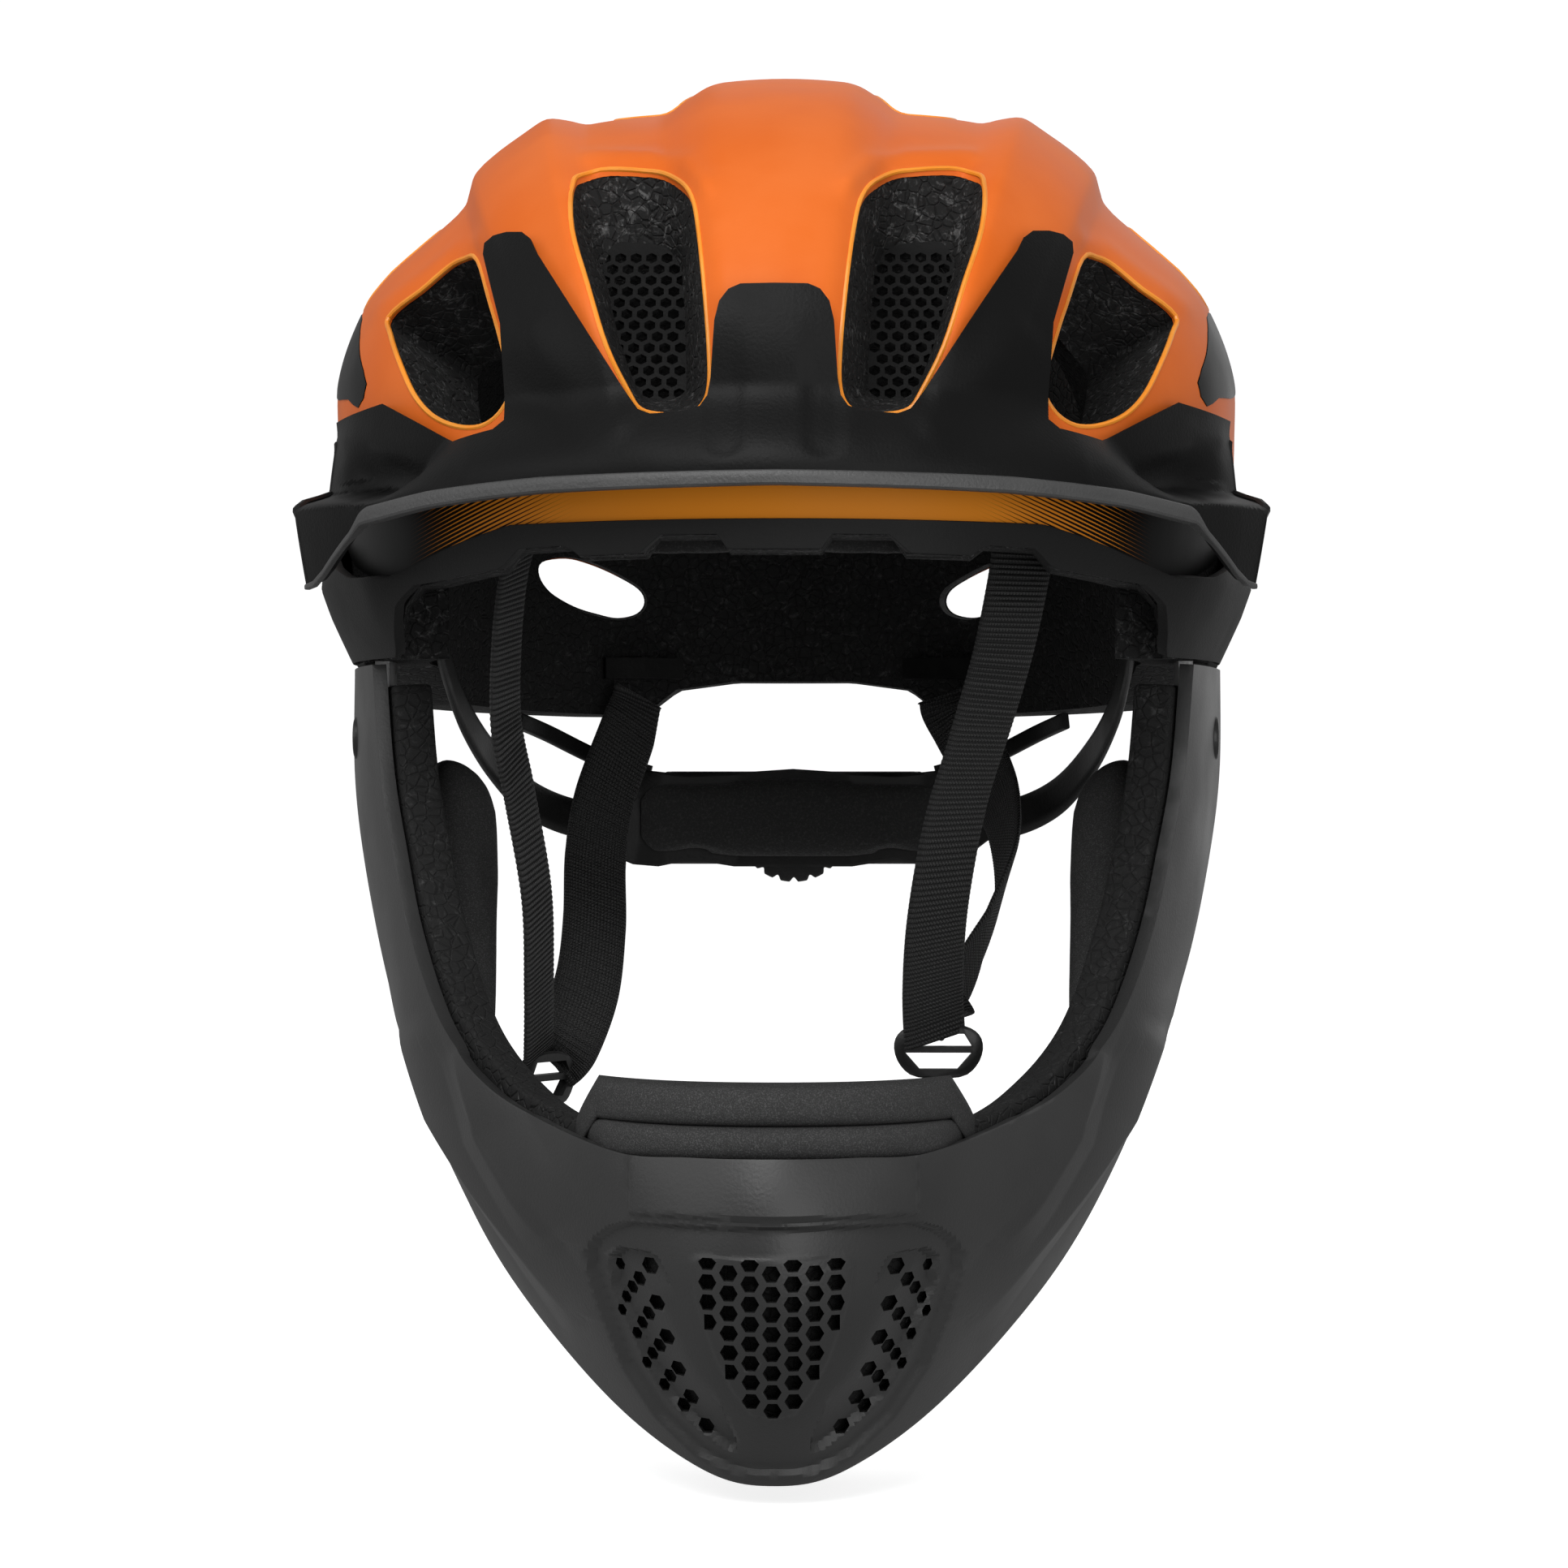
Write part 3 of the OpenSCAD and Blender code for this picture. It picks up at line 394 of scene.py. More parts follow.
def makeBeads():  # expanded foam: pressed beads with streaks of sheen, painted pale into the colour as glints
    tree, given, result = newGroup("foamBeads", "Vector Scale Depth Dark Pale", "Colour Normal Roughness")
    place, scale, depth, dark, pale = given
    beads = {"Vector": place, "Scale": scale}
    edge = addNode(tree, "ShaderNodeTexVoronoi", beads, feature="DISTANCE_TO_EDGE").outputs["Distance"]
    seams = between(tree, edge, 0.0, 0.12)
    core = addNode(tree, "ShaderNodeTexVoronoi", beads).outputs["Distance"]
    tint = between(tree, core, 0.1, 0.9, 0.35, 1.0)
    streaks = noiseOver(tree, place, 420.0, 6.0, Roughness=0.7, Distortion=1.4)
    glints = between(tree, streaks, 0.5, 0.74)
    height = maths(tree, "MULTIPLY_ADD", streaks, 0.45, seams)
    # pale colour where the glints fall: painted glints
    mask = maths(tree, "MULTIPLY", glints, tint)
    return finishCoat(tree, result, mask, dark, pale, height, depth, 0.0006, glints, 0.85, 0.5)


def makeSpeckle():  # skinned soft foam: fine bright specks on a dull ground, the specks a painted sparkle of light
    tree, given, result = newGroup("foamSpeckle", "Vector Scale Depth Dark Pale", "Colour Normal Roughness")
    place, scale, depth, dark, pale = given
    specks = noiseOver(tree, place, scale, 4.0, Roughness=0.75)
    mask = between(tree, specks, 0.46, 0.7)
    return finishCoat(tree, result, mask, dark, pale, specks, depth, 0.0004, mask, 0.72, 0.45)


def makeWeave():  # rows of thread over the ribs of webbing, along its own map, with painted highlight on the crests and painted shade in the hollows
    tree, given, result = newGroup("webbingWeave", "Vector Across Along Depth Dark Pale", "Colour Normal")
    place, acrossPitch, alongPitch, depth, dark, pale = given
    x, y, _ = addNode(tree, "ShaderNodeSeparateXYZ", {0: place}).outputs
    across = maths(tree, "SINE", maths(tree, "MULTIPLY", x, acrossPitch))
    along = maths(tree, "COSINE", maths(tree, "MULTIPLY", y, alongPitch))
    crest = maths(tree, "MULTIPLY_ADD", along, -0.5, 0.5)
    threads = maths(tree, "MULTIPLY", maths(tree, "MULTIPLY_ADD", across, 0.35, 0.65), crest)
    height = maths(tree, "MULTIPLY_ADD", noiseOver(tree, place, 90.0, 3.0), 0.3, threads)
    # colour follows height: paler crests are a painted highlight, darker hollows a painted shade
    colour = blendColour(tree, maths(tree, "MULTIPLY", threads, crest), dark, pale)
    return giveOut(tree, result, Colour=colour, Normal=bumpFrom(tree, height, depth, 0.0004))


groups = {"grain": makeGrain(), "edgeHighlight": makePaintedEdgeHighlight(), "beads": makeBeads(), "speckle": makeSpeckle(),
          "weave": makeWeave()}


def placeGroup(tree, name, **inputs):
    return addNode(tree, "ShaderNodeGroup", inputs, node_tree=groups[name]).outputs


def newMaterial(name):
    material = bpy.data.materials.new(name)
    material.use_nodes = True
    tree = material.node_tree
    shader = tree.nodes["Principled BSDF"]
    place = addNode(tree, "ShaderNodeTexCoord")
    return material, tree, shader, place.outputs["Object"], place.outputs["UV"]


def setShader(tree, shader, **values):
    for key, value in values.items():
        feed(tree, shader.inputs[key.replace("_", " ")], value)


def makePlastic(name, base, worn, dull=0.6, glossy=0.45, scale=1500.0, depth=0.35, edgeHighlight=0.5, **more):
    material, tree, shader, place, _ = newMaterial(name)
    grain = placeGroup(tree, "grain", Vector=place, Scale=scale, Depth=depth, Dullest=dull, Glossiest=glossy)
    ground = blendColour(tree, grain["Drift"], base, (*(c * 1.25 for c in base[:3]), 1))
    # pointed edges take the highlight colour, a painted highlight
    edges = placeGroup(tree, "edgeHighlight", Vector=place, Colour=ground, Worn=worn, Amount=edgeHighlight)
    setShader(tree, shader, Base_Color=edges["Colour"], Roughness=grain["Roughness"], Normal=grain["Normal"],
              **more)
    return material


def makeCoat(kind, name, dark, pale, scale, depth=0.8, inner=None, **more):  # foam beads or padding's specks
    material, tree, shader, place, _ = newMaterial(name)
    if inner:  # pale beads painted darker away from the front vents, a painted shade inside the head cavity
        y = addNode(tree, "ShaderNodeSeparateXYZ", {0: place}).outputs[1]
        pale = blendColour(tree, between(tree, y, -0.055, -0.03), pale, inner)
    coat = placeGroup(tree, kind, Vector=place, Scale=scale, Depth=depth, Dark=dark, Pale=pale)
    setShader(tree, shader, Base_Color=coat["Colour"], Roughness=coat["Roughness"], Normal=coat["Normal"],
              **more)
    return material


paint = {
    "deep": (0.84, 0.16, 0.018, 1), "bright": (0.90, 0.195, 0.035, 1), "brimShadeOchre": (0.92, 0.3, 0.02, 1),
    "shade": (0.002, 0.002, 0.002, 1), "fadeFrom": 0.036, "fadeTo": 0.079, "shadeAndFadeTop": 0.0235,
    "linePitch": 0.00085}


# satin-lacquered orange; under the visor it darkens to a yellower tone, a painted shade, then fades into
# black through fine slanted lines, a print whose black also stands in for the shade under the brim
def makeOrange():
    material, tree, shader, place, _ = newMaterial("orangeLacquer")
    grain = placeGroup(tree, "grain", Vector=place, Scale=900.0, Depth=0.05, Dullest=0.46, Glossiest=0.38)
    x, y, z = addNode(tree, "ShaderNodeSeparateXYZ", {0: place}).outputs
    side = maths(tree, "ABSOLUTE", x)
    # mask for under the brim: it carries the painted shade and the print's black fade
    under = maths(tree, "MULTIPLY", between(tree, z, paint["shadeAndFadeTop"], paint["shadeAndFadeTop"] - 0.002),
                  between(tree, y, 0.004, -0.02))
    lacquerAndShade = blendColour(tree, under, blendColour(tree, grain["Drift"], paint["deep"], paint["bright"]),
                          paint["brimShadeOchre"])
    # the black fade is print, and under the brim it also paints shade
    fade = maths(tree, "MULTIPLY", between(tree, side, paint["fadeFrom"], paint["fadeTo"]), under)
    slant = maths(tree, "MULTIPLY_ADD", side, 0.4, z)
    lines = maths(tree, "SINE", maths(tree, "MULTIPLY", slant, 2 * math.pi / paint["linePitch"]))
    covered = between(tree, maths(tree, "MULTIPLY_ADD", fade, 2.5, lines), 0.95, 1.5)
    setShader(tree, shader, Base_Color=blendColour(tree, covered, lacquerAndShade, paint["shade"]),
              Roughness=grain["Roughness"], Normal=grain["Normal"], Specular_IOR_Level=0.1)
    return material


ribPitch = 1.1


def makeWebbing():
    material, tree, shader, _, chart = newMaterial("ribbedWebbing")
    across, along = 2 * math.pi * 62, 2 * math.pi * 100 / ribPitch
    weave = placeGroup(tree, "weave", Vector=chart, Across=across, Along=along, Depth=0.9, Dark=grey(0.0008),
                       Pale=grey(0.045))
    setShader(tree, shader, Base_Color=weave["Colour"], Normal=weave["Normal"], Roughness=0.6,
              Sheen_Weight=0.08, Sheen_Roughness=0.4)
    return material


# in each plastic below, the second colour is its painted edge highlight
finish = {
    "shell_orange": makeOrange(),
    # the rolled skin edge round the vents, painted a brighter orange as a painted highlight
    "skin_edge": makePlastic("skinEdgeHighlight", (0.95, 0.3, 0.02, 1), (1, 0.5, 0.08, 1), dull=0.42, glossy=0.32,
        depth=0.05),
    # the liner's last colour paints shade on its beads inside the cavity
    "foam_black": makeCoat("beads", "linerFoam", grey(0.005), grey(0.2), 430.0, inner=grey(0.04)),
    "rim_black": makePlastic("rimPlastic", grey(0.012), grey(0.03), dull=0.62, glossy=0.5,
        Specular_IOR_Level=0.2),
    "panel_black": makePlastic("panelGloss", grey(0.002), grey(0.006), dull=0.34, glossy=0.26, depth=0.04,
        Specular_IOR_Level=0.05),
    "visor_black": makePlastic("visorPlastic", grey(0.004), grey(0.02), dull=0.55, glossy=0.42,
        Specular_IOR_Level=0.16),
    "lip": makePlastic("lipPlastic", grey(0.06), grey(0.15), dull=0.5, glossy=0.4, depth=0.8),
    "net_black": makePlastic("netPlastic", grey(0.002), grey(0.007), dull=0.6, glossy=0.5,
        Specular_IOR_Level=0.15),
    "vent_screen": makeCoat("beads", "screenFoam", grey(0.002), grey(0.012), 500.0),
    "guard_grey": makePlastic("guardPlastic", grey(0.027), grey(0.075), dull=0.46, glossy=0.36, depth=0.3,
        Specular_IOR_Level=0.5),
    "guard_foam": makeCoat("beads", "guardFoam", grey(0.004), grey(0.03), 420.0),
    # the pads' pale colour is their painted sparkle
    "pad_fabric": makeCoat("speckle", "padSkin", grey(0.022), grey(0.09), 3600.0, 0.6),
    "brushed_pad": makeCoat("speckle", "padKnit", grey(0.003), grey(0.014), 1800.0, Sheen_Weight=0.1,
        Sheen_Roughness=0.5),
    "hook_steel": makePlastic("hookSteel", grey(0.35), grey(0.5), dull=0.42, glossy=0.3, Metallic=1.0),
    "socket_plastic": makePlastic("socketPlastic", grey(0.003), grey(0.01), Specular_IOR_Level=0.1),
    "button_plastic": makePlastic("buttonPlastic", grey(0.014), grey(0.05), dull=0.4, glossy=0.3),
    "cradle_plastic": makePlastic("cradlePlastic", grey(0.006), grey(0.03), dull=0.5, glossy=0.36,
        Specular_IOR_Level=0.3),
    "dial_rubber": makePlastic("dialRubber", grey(0.014), grey(0.04), dull=0.75, glossy=0.6),
    "webbing_black": makeWebbing(),
    "buckle_plastic": makePlastic("bucklePlastic", grey(0.012), grey(0.05), dull=0.38, glossy=0.28,
        depth=0.2)}
print("materials made")


# floor and light
studio = {"floorGap": 0.004, "reach": 4.0, "sky": 0.3}
# each light's place, what it points at, its size and its power
lights = {
    "keyLight": ((-0.35, -1.45, 1.35), (0, -0.05, 0), 1.3, 23.0),
    "fillLight": ((0.7, -1.4, 0.05), (0, 0, 0), 1.2, 7.0),
    "sideLight": ((-1.5, -0.7, 0.6), (0, 0, 0), 1.2, 4.5),
    "backLight": ((0.5, 1.6, 0.5), (0, 0, 0), 1.4, 2.5)}


def addStage():
    deselect()
    bpy.ops.mesh.primitive_plane_add(size=2 * studio["reach"],
                                     location=(0, 0, cadBox[0][2] - studio["floorGap"]))
    floor = bpy.context.object
    floor.name = "studioFloor"
    bpy.ops.object.mode_set(mode="EDIT")
    bpy.ops.mesh.select_all(action="SELECT")
    bpy.ops.mesh.select_mode(type="EDGE")
    bpy.ops.mesh.extrude_edges_move(TRANSFORM_OT_translate={"value": (0, 0, studio["reach"])})
    bpy.ops.object.mode_set(mode="OBJECT")
    for edge in floor.data.edges:
        edge.select = all(floor.data.vertices[i].co.z < 0.1 for i in edge.vertices)
    bpy.ops.object.mode_set(mode="EDIT")
    bpy.ops.mesh.bevel(offset=1.2, segments=16, affect="EDGES")
    bpy.ops.mesh.select_mode(type="VERT")
    bpy.ops.object.mode_set(mode="OBJECT")
    bpy.ops.object.shade_smooth()
    material, tree, shader, place, _ = newMaterial("paleFloor")
    grain = placeGroup(tree, "grain", Vector=place, Scale=300.0, Depth=0.02, Dullest=0.8, Glossiest=0.7)
    setShader(tree, shader, Base_Color=blendColour(tree, grain["Drift"], grey(0.9), grey(0.93)),
              Roughness=grain["Roughness"], Emission_Color=grey(1.0), Emission_Strength=0.74)
    floor.data.materials.append(material)
    floor.visible_diffuse = floor.visible_glossy = floor.visible_shadow = False


def addLight(name, place, aim, size, power):
    bpy.ops.object.light_add(type="AREA", location=place)
    lamp = bpy.context.object
    lamp.name = name
    lamp.data.size = size
    lamp.data.energy = power
    lamp.rotation_euler = (Vector(aim) - Vector(place)).to_track_quat("-Z", "Y").to_euler()


addStage()
world = bpy.data.worlds.new("studioSky")
bpy.context.scene.world = world
world.use_nodes = True
sky = world.node_tree.nodes["Background"].inputs
sky[0].default_value = (1, 1, 1, 1)
sky[1].default_value = studio["sky"]
for lightName, settings in lights.items():
    addLight(lightName, *settings)
bpy.context.scene.view_settings.view_transform = "Standard"
print("studio ready")


# crown shell: a squarish dome whose ribs fan out from a line below the origin
midY, midZ = 12, 40  # where the dome is widest and longest
dome = {
    "halfWidth": 98, "halfLength": 130, "rise": 74, "fall": 190, "middle": Vector((0, midY, midZ)),
    "square": 1.95, "fanDepth": 75, "tuck": 13, "skin": 1.2, "rows": 168,
    "relief": [(0, -1.1), (0.075, -1.1), (0.09, -1.6), (0.124, -4.2), (0.137, -5.5), (0.15, -6),
        (0.165, -5.6), (0.21, -4), (0.247, -2.7), (0.257, -0.9), (0.268, 0.6), (0.278, 2), (0.288, 2.2),
        (0.32, 1.5), (0.35, 1.1), (0.383, 0.5), (0.402, -0.2), (0.423, -2.4), (0.443, -4.3), (0.469, -4.8),
        (0.509, -4.4), (0.55, -3.4), (0.592, -1.9), (0.64, -0.7), (0.7, -0.3), (0.8, 0.5), (0.87, 0)],
    "columns": [(0, 0), (0.07, 5), (0.165, 14), (0.24, 6), (0.3, 10), (0.34, 3), (0.395, 4), (0.45, 9),
        (0.58, 9), (0.7, 8), (0.85, 7), (1.1, 9), (2.1, 16)],
    "rolls": [([(14.5, 79), (19, 85.5), (27, 89), (39, 89)], 1.7, 2.4), ([(63, 71), (70, 72), (84, 60)], 0.8,
        2.4)]}


def relief(t):
    return sum(lookUp(abs(t + d), dome["relief"]) for d in (-0.005, 0, 0.005)) / 3


def ribHeight(p):
    return relief(p.x / (p.z + dome["fanDepth"])) * smooth((p.z - 22) / 34)


def tucked(p):
    drawn = dome["tuck"] * smooth((p.y - 52) / 90) * (max(midZ - p.z, 0) / 54) ** 1.6
    return Vector((p.x, p.y - drawn, p.z))


def ribbed(p):
    out = (p - dome["middle"]).normalized()
    high = ribHeight(p) * smooth((130 - p.y) / 40)
    if p.y < -30 and p.z > 55:
        for line, lift, width in dome["rolls"]:
            high += lift * math.exp(-(lineGap(abs(p.x), p.z, line)[0] / width) ** 2)
    return tucked(p + high * out)


def fullness(p, g):
    c = (dome["rise"] if p.z > midZ else dome["fall"]) + g
    e = dome["square"]
    return ((abs(p.x) / (dome["halfWidth"] + g)) ** e + (abs(p.y - midY) / (dome["halfLength"] + g)) ** e
            + (abs(p.z - midZ) / c) ** e)


def domeFrom(start, way, g=0, far=330):  # where a line from inside the dome comes out, g outside it
    low, high = 0, far
    for _ in range(22):
        half = (low + high) / 2
        if fullness(start + way * half, g) < 1:
            low = half
        else:
            high = half
    return ribbed(start + way * low)


def fanPoint(t, tilt, g):
    a = math.atan(t)
    way = Vector((math.sin(a) * math.cos(tilt), -math.sin(tilt), math.cos(a) * math.cos(tilt)))
    return domeFrom(Vector((0, midY, -dome["fanDepth"])), way, g)


half = spread(dome["columns"])
fanColumns = [-t for t in reversed(half[1:])] + half


def domeSheet(name, g):
    last, reach = len(fanColumns) - 1, math.radians(72)

    def place(u, v):
        return fanPoint(fanColumns[round(u * last)], mix(reach, -reach, v), g)
    return gridPiece(name, last, dome["rows"], place)


def frontOn(x, z):
    return domeFrom(Vector((x, midY, z)), Vector((0, -1, 0)))


def backOn(x, z):
    return domeFrom(Vector((x, midY, z)), Vector((0, 1, 0)))


def topOn(x, y):
    return domeFrom(Vector((x, y, midZ)), Vector((0, 0, 1)))


def sideOn(y, z):
    return domeFrom(Vector((0, y, z)), Vector((1, 0, 0)))


def sidePlane(y, z, x):
    return (x, y, z)


def frontPlane(x, z, y):
    return (x, y, z)


edges = {
    "skin": [(-200, 11), (-96, 11), (-80, 7), (-62, 2), (-46, 2.6), (-30, 6), (-14, 12.5), (0, 18),
        (18, 21.4), (36, 22), (62, 18.4), (90, 12), (140, 8.6), (200, 6)],
    "rim": [(-98, 7.6), (-72, -5), (-62, -14), (12, -14), (44, -22), (100, -24), (200, -24)],
    "brow": [(0, 5.2), (9, 5.2), (11, 8.1), (23, 8.1), (25.5, 4.6), (38.3, 4.4), (41, 6.5), (51, 6.2),
        (54.5, 2.5), (73.5, 0.2), (77, -3.5), (79, -14)],
    "arch": [(0, 8.5), (14, 8.5), (28, 6.5), (36, 0)]}

# vents of the left half, mirrored to the right: the mouth on the shell, how the channel leans and narrows
vents = {
    "centre": {
        "on": frontOn,
        "mouth": [(-41.2, 79.6), (-40.4, 83.2), (-37, 85.4), (-29, 85.5), (-24, 84.6), (-20, 81.4),
            (-17.2, 77), (-15.7, 70.5), (-14.2, 59), (-12.8, 44), (-12.7, 36.5), (-14.2, 32.7), (-17.4, 31.2),
            (-21.8, 31.2), (-26.2, 32.4), (-28.6, 36), (-32.5, 44.5), (-36.3, 57), (-39.9, 69)],
        "inner": [(-35, 63.5), (-34, 66.5), (-31.5, 68), (-28, 68.2), (-24.5, 68), (-21.5, 66.5), (-19.5, 63),
            (-18.8, 57), (-18.3, 48), (-18, 41), (-18.3, 37.5), (-20.5, 36), (-23, 35.8), (-26, 36.5),
            (-28, 39), (-30.3, 45), (-32.3, 51.5), (-33.5, 57), (-34.5, 61)],
        "netPlane": (-88, 0.53, 47)},
    "outer": {
        "on": frontOn,
        "mouth": [(-64, 67.6), (-67.7, 68.8), (-71.3, 67.4), (-76.6, 62.4), (-82.4, 57), (-81.3, 52.8),
            (-78, 45.6), (-74.1, 38.5), (-69.7, 33.9), (-64.3, 31.3), (-59.3, 30.9), (-55.6, 33),
            (-53.4, 37.2), (-53.8, 40.2), (-56.1, 46), (-59.9, 56.3)],
        "lean": (21, 34, -13), "shrink": (0.4, 0.6, 0.4)},
    "crown": {
        "on": topOn,
        "mouth": [(-24, -26), (-30, -24), (-37, -20), (-39.5, 0), (-40, 18), (-34, 32), (-28, 31), (-23, 26),
            (-21, 8), (-20, -6), (-21.5, -19)],
        "lean": (3, -2, -40), "shrink": (0.15, 0.25, 1)},
    "side": {
        "on": sideOn,
        "mouth": [(-12, 80), (4, 83), (24, 84), (32, 81), (34, 76), (30, 70), (22, 66), (8, 64), (-6, 63),
            (-12, 68)],
        "lean": (-36, 0, -18), "shrink": (0.6, 0.25, 0.2), "flip": True},
    "rearSide": {
        "on": sideOn,
        "mouth": [(56, 78), (68, 76), (78, 70), (87, 62), (90, 55), (86, 48), (78, 44), (66, 48), (58, 54),
            (55, 66)],
        "lean": (-30, -30, -16), "shrink": (0.6, 0.3, 0.2), "flip": True},
    "rear": {
        "on": backOn,
        "mouth": [(-14, 74), (-23, 73.5), (-32, 70), (-34.5, 60), (-34, 50), (-30, 42), (-24, 36), (-17, 37),
            (-13, 42), (-12.5, 58)],
        "lean": (2, -40, -20), "shrink": (0.1, 1, 0.25)},
    "nape": {
        "on": backOn,
        "mouth": [(-61, 13.4), (-55.5, 14.6), (-50, 13.4), (-44, 10.9), (-38.4, 7.6), (-36.9, 4.4),
            (-38.6, 1.6), (-43, 0.4), (-47.6, 1.2), (-53.4, 3), (-59, 6.4), (-61.6, 10.2)],
        "lean": (2.5, -40, -1.5), "shrink": (0, 1, 0)}}


def ventMouth(vent, side):
    points = [vent["on"](p.x, p.y) for p in roundLoop(vent["mouth"], 4)]
    flip = -side if vent.get("flip") else side
    points = [Vector((p.x * flip, p.y, p.z)) for p in points]
    return points, flip


# the channel of one vent, from outside the shell to inside the head cavity
def ventTool(name, side, extra=0.0):
    vent = vents[name]
    mouth, flip = ventMouth(vent, side)
    middle = sum(mouth, Vector()) / len(mouth)
    if "inner" in vent:
        y0, slope, z0 = vent["netPlane"]
        inner = [Vector((p.x * side, y0 + slope * (p.y - z0), p.y)) for p in roundLoop(vent["inner"], 4)]
        lean = Vector((0, 36, -13))
    else:
        lean = Vector(vent["lean"])
        lean.x *= flip
        inner = [p + Vector([(middle[k] - p[k]) * vent["shrink"][k] for k in range(3)]) + lean for p in mouth]
    way = lean.normalized()
    grown = [p + extra * (p - middle).normalized() for p in mouth]
    waist = [mix(a, b, 0.5) + 0.8 * (a - middle).normalized() for a, b in zip(grown, inner)]
    above, below = [p - 14 * way for p in grown], [p + 34 * way for p in inner]
    return loft(name + "Tool", [above, grown, waist, inner, below])


def belowEdge(name, edge, depth=-120):  # all that lies under an edge seen from the side
    outline = list(edge) + [(200, depth), (-200, depth)]
    return prism(name, outline, sidePlane, -150, 150)


def sealedDome(name, g):
    return inEditMode(domeSheet(name, g), closeEnds, faceOut)


def lipBead(name, side, radius=0.55, g=-0.25):  # the rolled edge of the skin round a vent
    mouth, _ = ventMouth(vents[name], side)
    path = [p + g * (p - dome["middle"]).normalized() for p in mouth]
    return tubePiece(name + "Bead", path, radius, 8, closed=True)


panelOutline = [(-48, 43), (-38, 50), (-23, 59), (-8, 61.5), (6, 62), (11, 58), (12, 52), (4, 47), (-6, 44),
                (-20, 42), (-34, 41), (-43, 38.5)]


def addCrown():
    shell = thicken(domeSheet("crownShell", 0), dome["skin"])
    cut(shell, belowEdge("under", edges["skin"]))
    for side in (1, -1):
        for name in vents:
            cut(shell, ventTool(name, side))
        outline = [tuple(p) for p in roundLoop(panelOutline, 2)]
        cut(shell, prism("panelTool", outline, sidePlane, *sorted((side * 60, side * 120))))
    # the beads carry the brighter orange, a painted highlight along each vent's rim
    beads = [lipBead(name, side) for side in (1, -1) for name in vents if name != "nape"]
    for bead in beads:
        paintWith(bead, finish["skin_edge"])
    paintWith(shell, finish["shell_orange"])
    return dress(join(shell, *beads), "root", "shell_orange", "outer_shell", angle=32)


addCrown()
print("crown shell modelled")


# foam liner round the head's cavity
def cavityPoint(az, el, g=0):
    way = Vector((math.sin(az) * math.cos(el), -math.cos(az) * math.cos(el), math.sin(el)))
    full = sum((abs(way[k]) / size) ** 2.3 for k, size in enumerate((77 - g, 97 - g, 88 - g)))
    return Vector((0, 4, 0)) + way * full ** (-1 / 2.3)


def cavityTool():
    around = turns(88)
    level = [cavityPoint(a, 0) for a in around]
    rings = [[Vector((p.x, p.y, z)) for p in level] for z in (-70, -20)]
    for el in spread([(0, 0), (80, 22), (89, 4)]):
        rings.append([cavityPoint(a, math.radians(el)) for a in around])
    return loft("cavityTool", rings)


def browTool():  # under the brow tabs and the temples, from the front
    return prism("browTool", bothSides(edges["brow"]) + [(79, -100), (-79, -100)], frontPlane, -160, -46)


def archTool():
    half = [(x, z - 24) for x, z in edges["arch"] + [(36, -60)]]
    return prism("archTool", bothSides(half), frontPlane, 77, 160)


def addLiner():
    liner = sealedDome("foamLiner", -1.3)
    for tool in (belowEdge("underRim", edges["rim"]), browTool(), archTool(), cavityTool()):
        cut(liner, tool)
    for side in (1, -1):
        for name in vents:
            cut(liner, ventTool(name, side, 0.3))
    return dress(liner, "root", "foam_black", "foam_liner_left", "foam_liner_right", angle=30)


addLiner()
print("foam liner carved")


# lower shell: a proud black band from the orange skin down to the brow, the temples and the nape
rimBand = {
    "proud": 1.2, "thick": 2.4, "columns": 360, "rows": 16, "soften": 0.5,
    "temple": [(-14, 0), (-4, 3.2), (2, 4.6), (8, 3.4), (15, 0)]}


def levelPoint(az, z, g=0):
    e = dome["square"]
    c = (dome["rise"] if z > midZ else dome["fall"]) + g
    tall = max(1 - (abs(z - midZ) / c) ** e, 0.0001) ** (1 / e)
    wide = (abs(math.sin(az)) / (dome["halfWidth"] + g)) ** e
    long = (abs(math.cos(az)) / (dome["halfLength"] + g)) ** e
    r = tall * (wide + long) ** (-1 / e)
    return Vector((r * math.sin(az), midY - r * math.cos(az), z))


def edgeHeight(az, edge):
    z = 0
    for _ in range(6):
        p = tucked(levelPoint(az, z, rimBand["proud"]))
        if edge == "rim" and p.y < -50:
            z = lookUp(abs(p.x), edges["brow"])
        else:
            z = lookUp(p.y, edges[edge])
            if edge == "rim" and p.y > 77:
                z += lookUp(abs(p.x), edges["arch"])
    return z


def addRim():
    def place(u, v):
        az = 2 * math.pi * (u + 0.5)
        z = mix(edgeHeight(az, "rim"), edgeHeight(az, "skin"), v)
        p = levelPoint(az, z, rimBand["proud"])
        full = lookUp(z, rimBand["temple"]) * smooth((p.y + 78) / 26) * smooth((48 - p.y) / 50)
        return tucked(p + full * Vector((math.sin(az), -math.cos(az), 0)))
    rim = gridPiece("crownRim", rimBand["columns"], rimBand["rows"], place)
    inEditMode(rim, weld)
    thicken(rim, rimBand["thick"])
    softenEdges(rim, rimBand["soften"])
    for side in (1, -1):
        cut(rim, ventTool("nape", side))
    return dress(rim, "root", "rim_black", "lower_shell")


addRim()


# glossy side panels let into the shell above the temples
def addPanels():
    def place(u, v):
        return sideOn(mix(-50, 14, u), mix(36, 64, v)) + Vector((0.15, 0, 0))
    panel = gridPiece("sidePanelRight", 48, 24, place)
    thicken(panel, 1.3)
    outline = [tuple(p) for p in roundLoop([(y + 0.2, z) for y, z in panelOutline], 2)]
    cut(panel, prism("panelEdge", outline, sidePlane, 60, 120), "INTERSECT")
    dressPair(panel, "root", "panel_black", "side_panel")


addPanels()
print("rim and side panels modelled")


# insect nets across the inner mouths of the centre vents
net = {
    "at": (27, -87.7, 47), "tilt": 28, "half": 11, "low": -17, "high": 25, "thick": 1, "hole": 2.5,
    "pitch": 3.1}


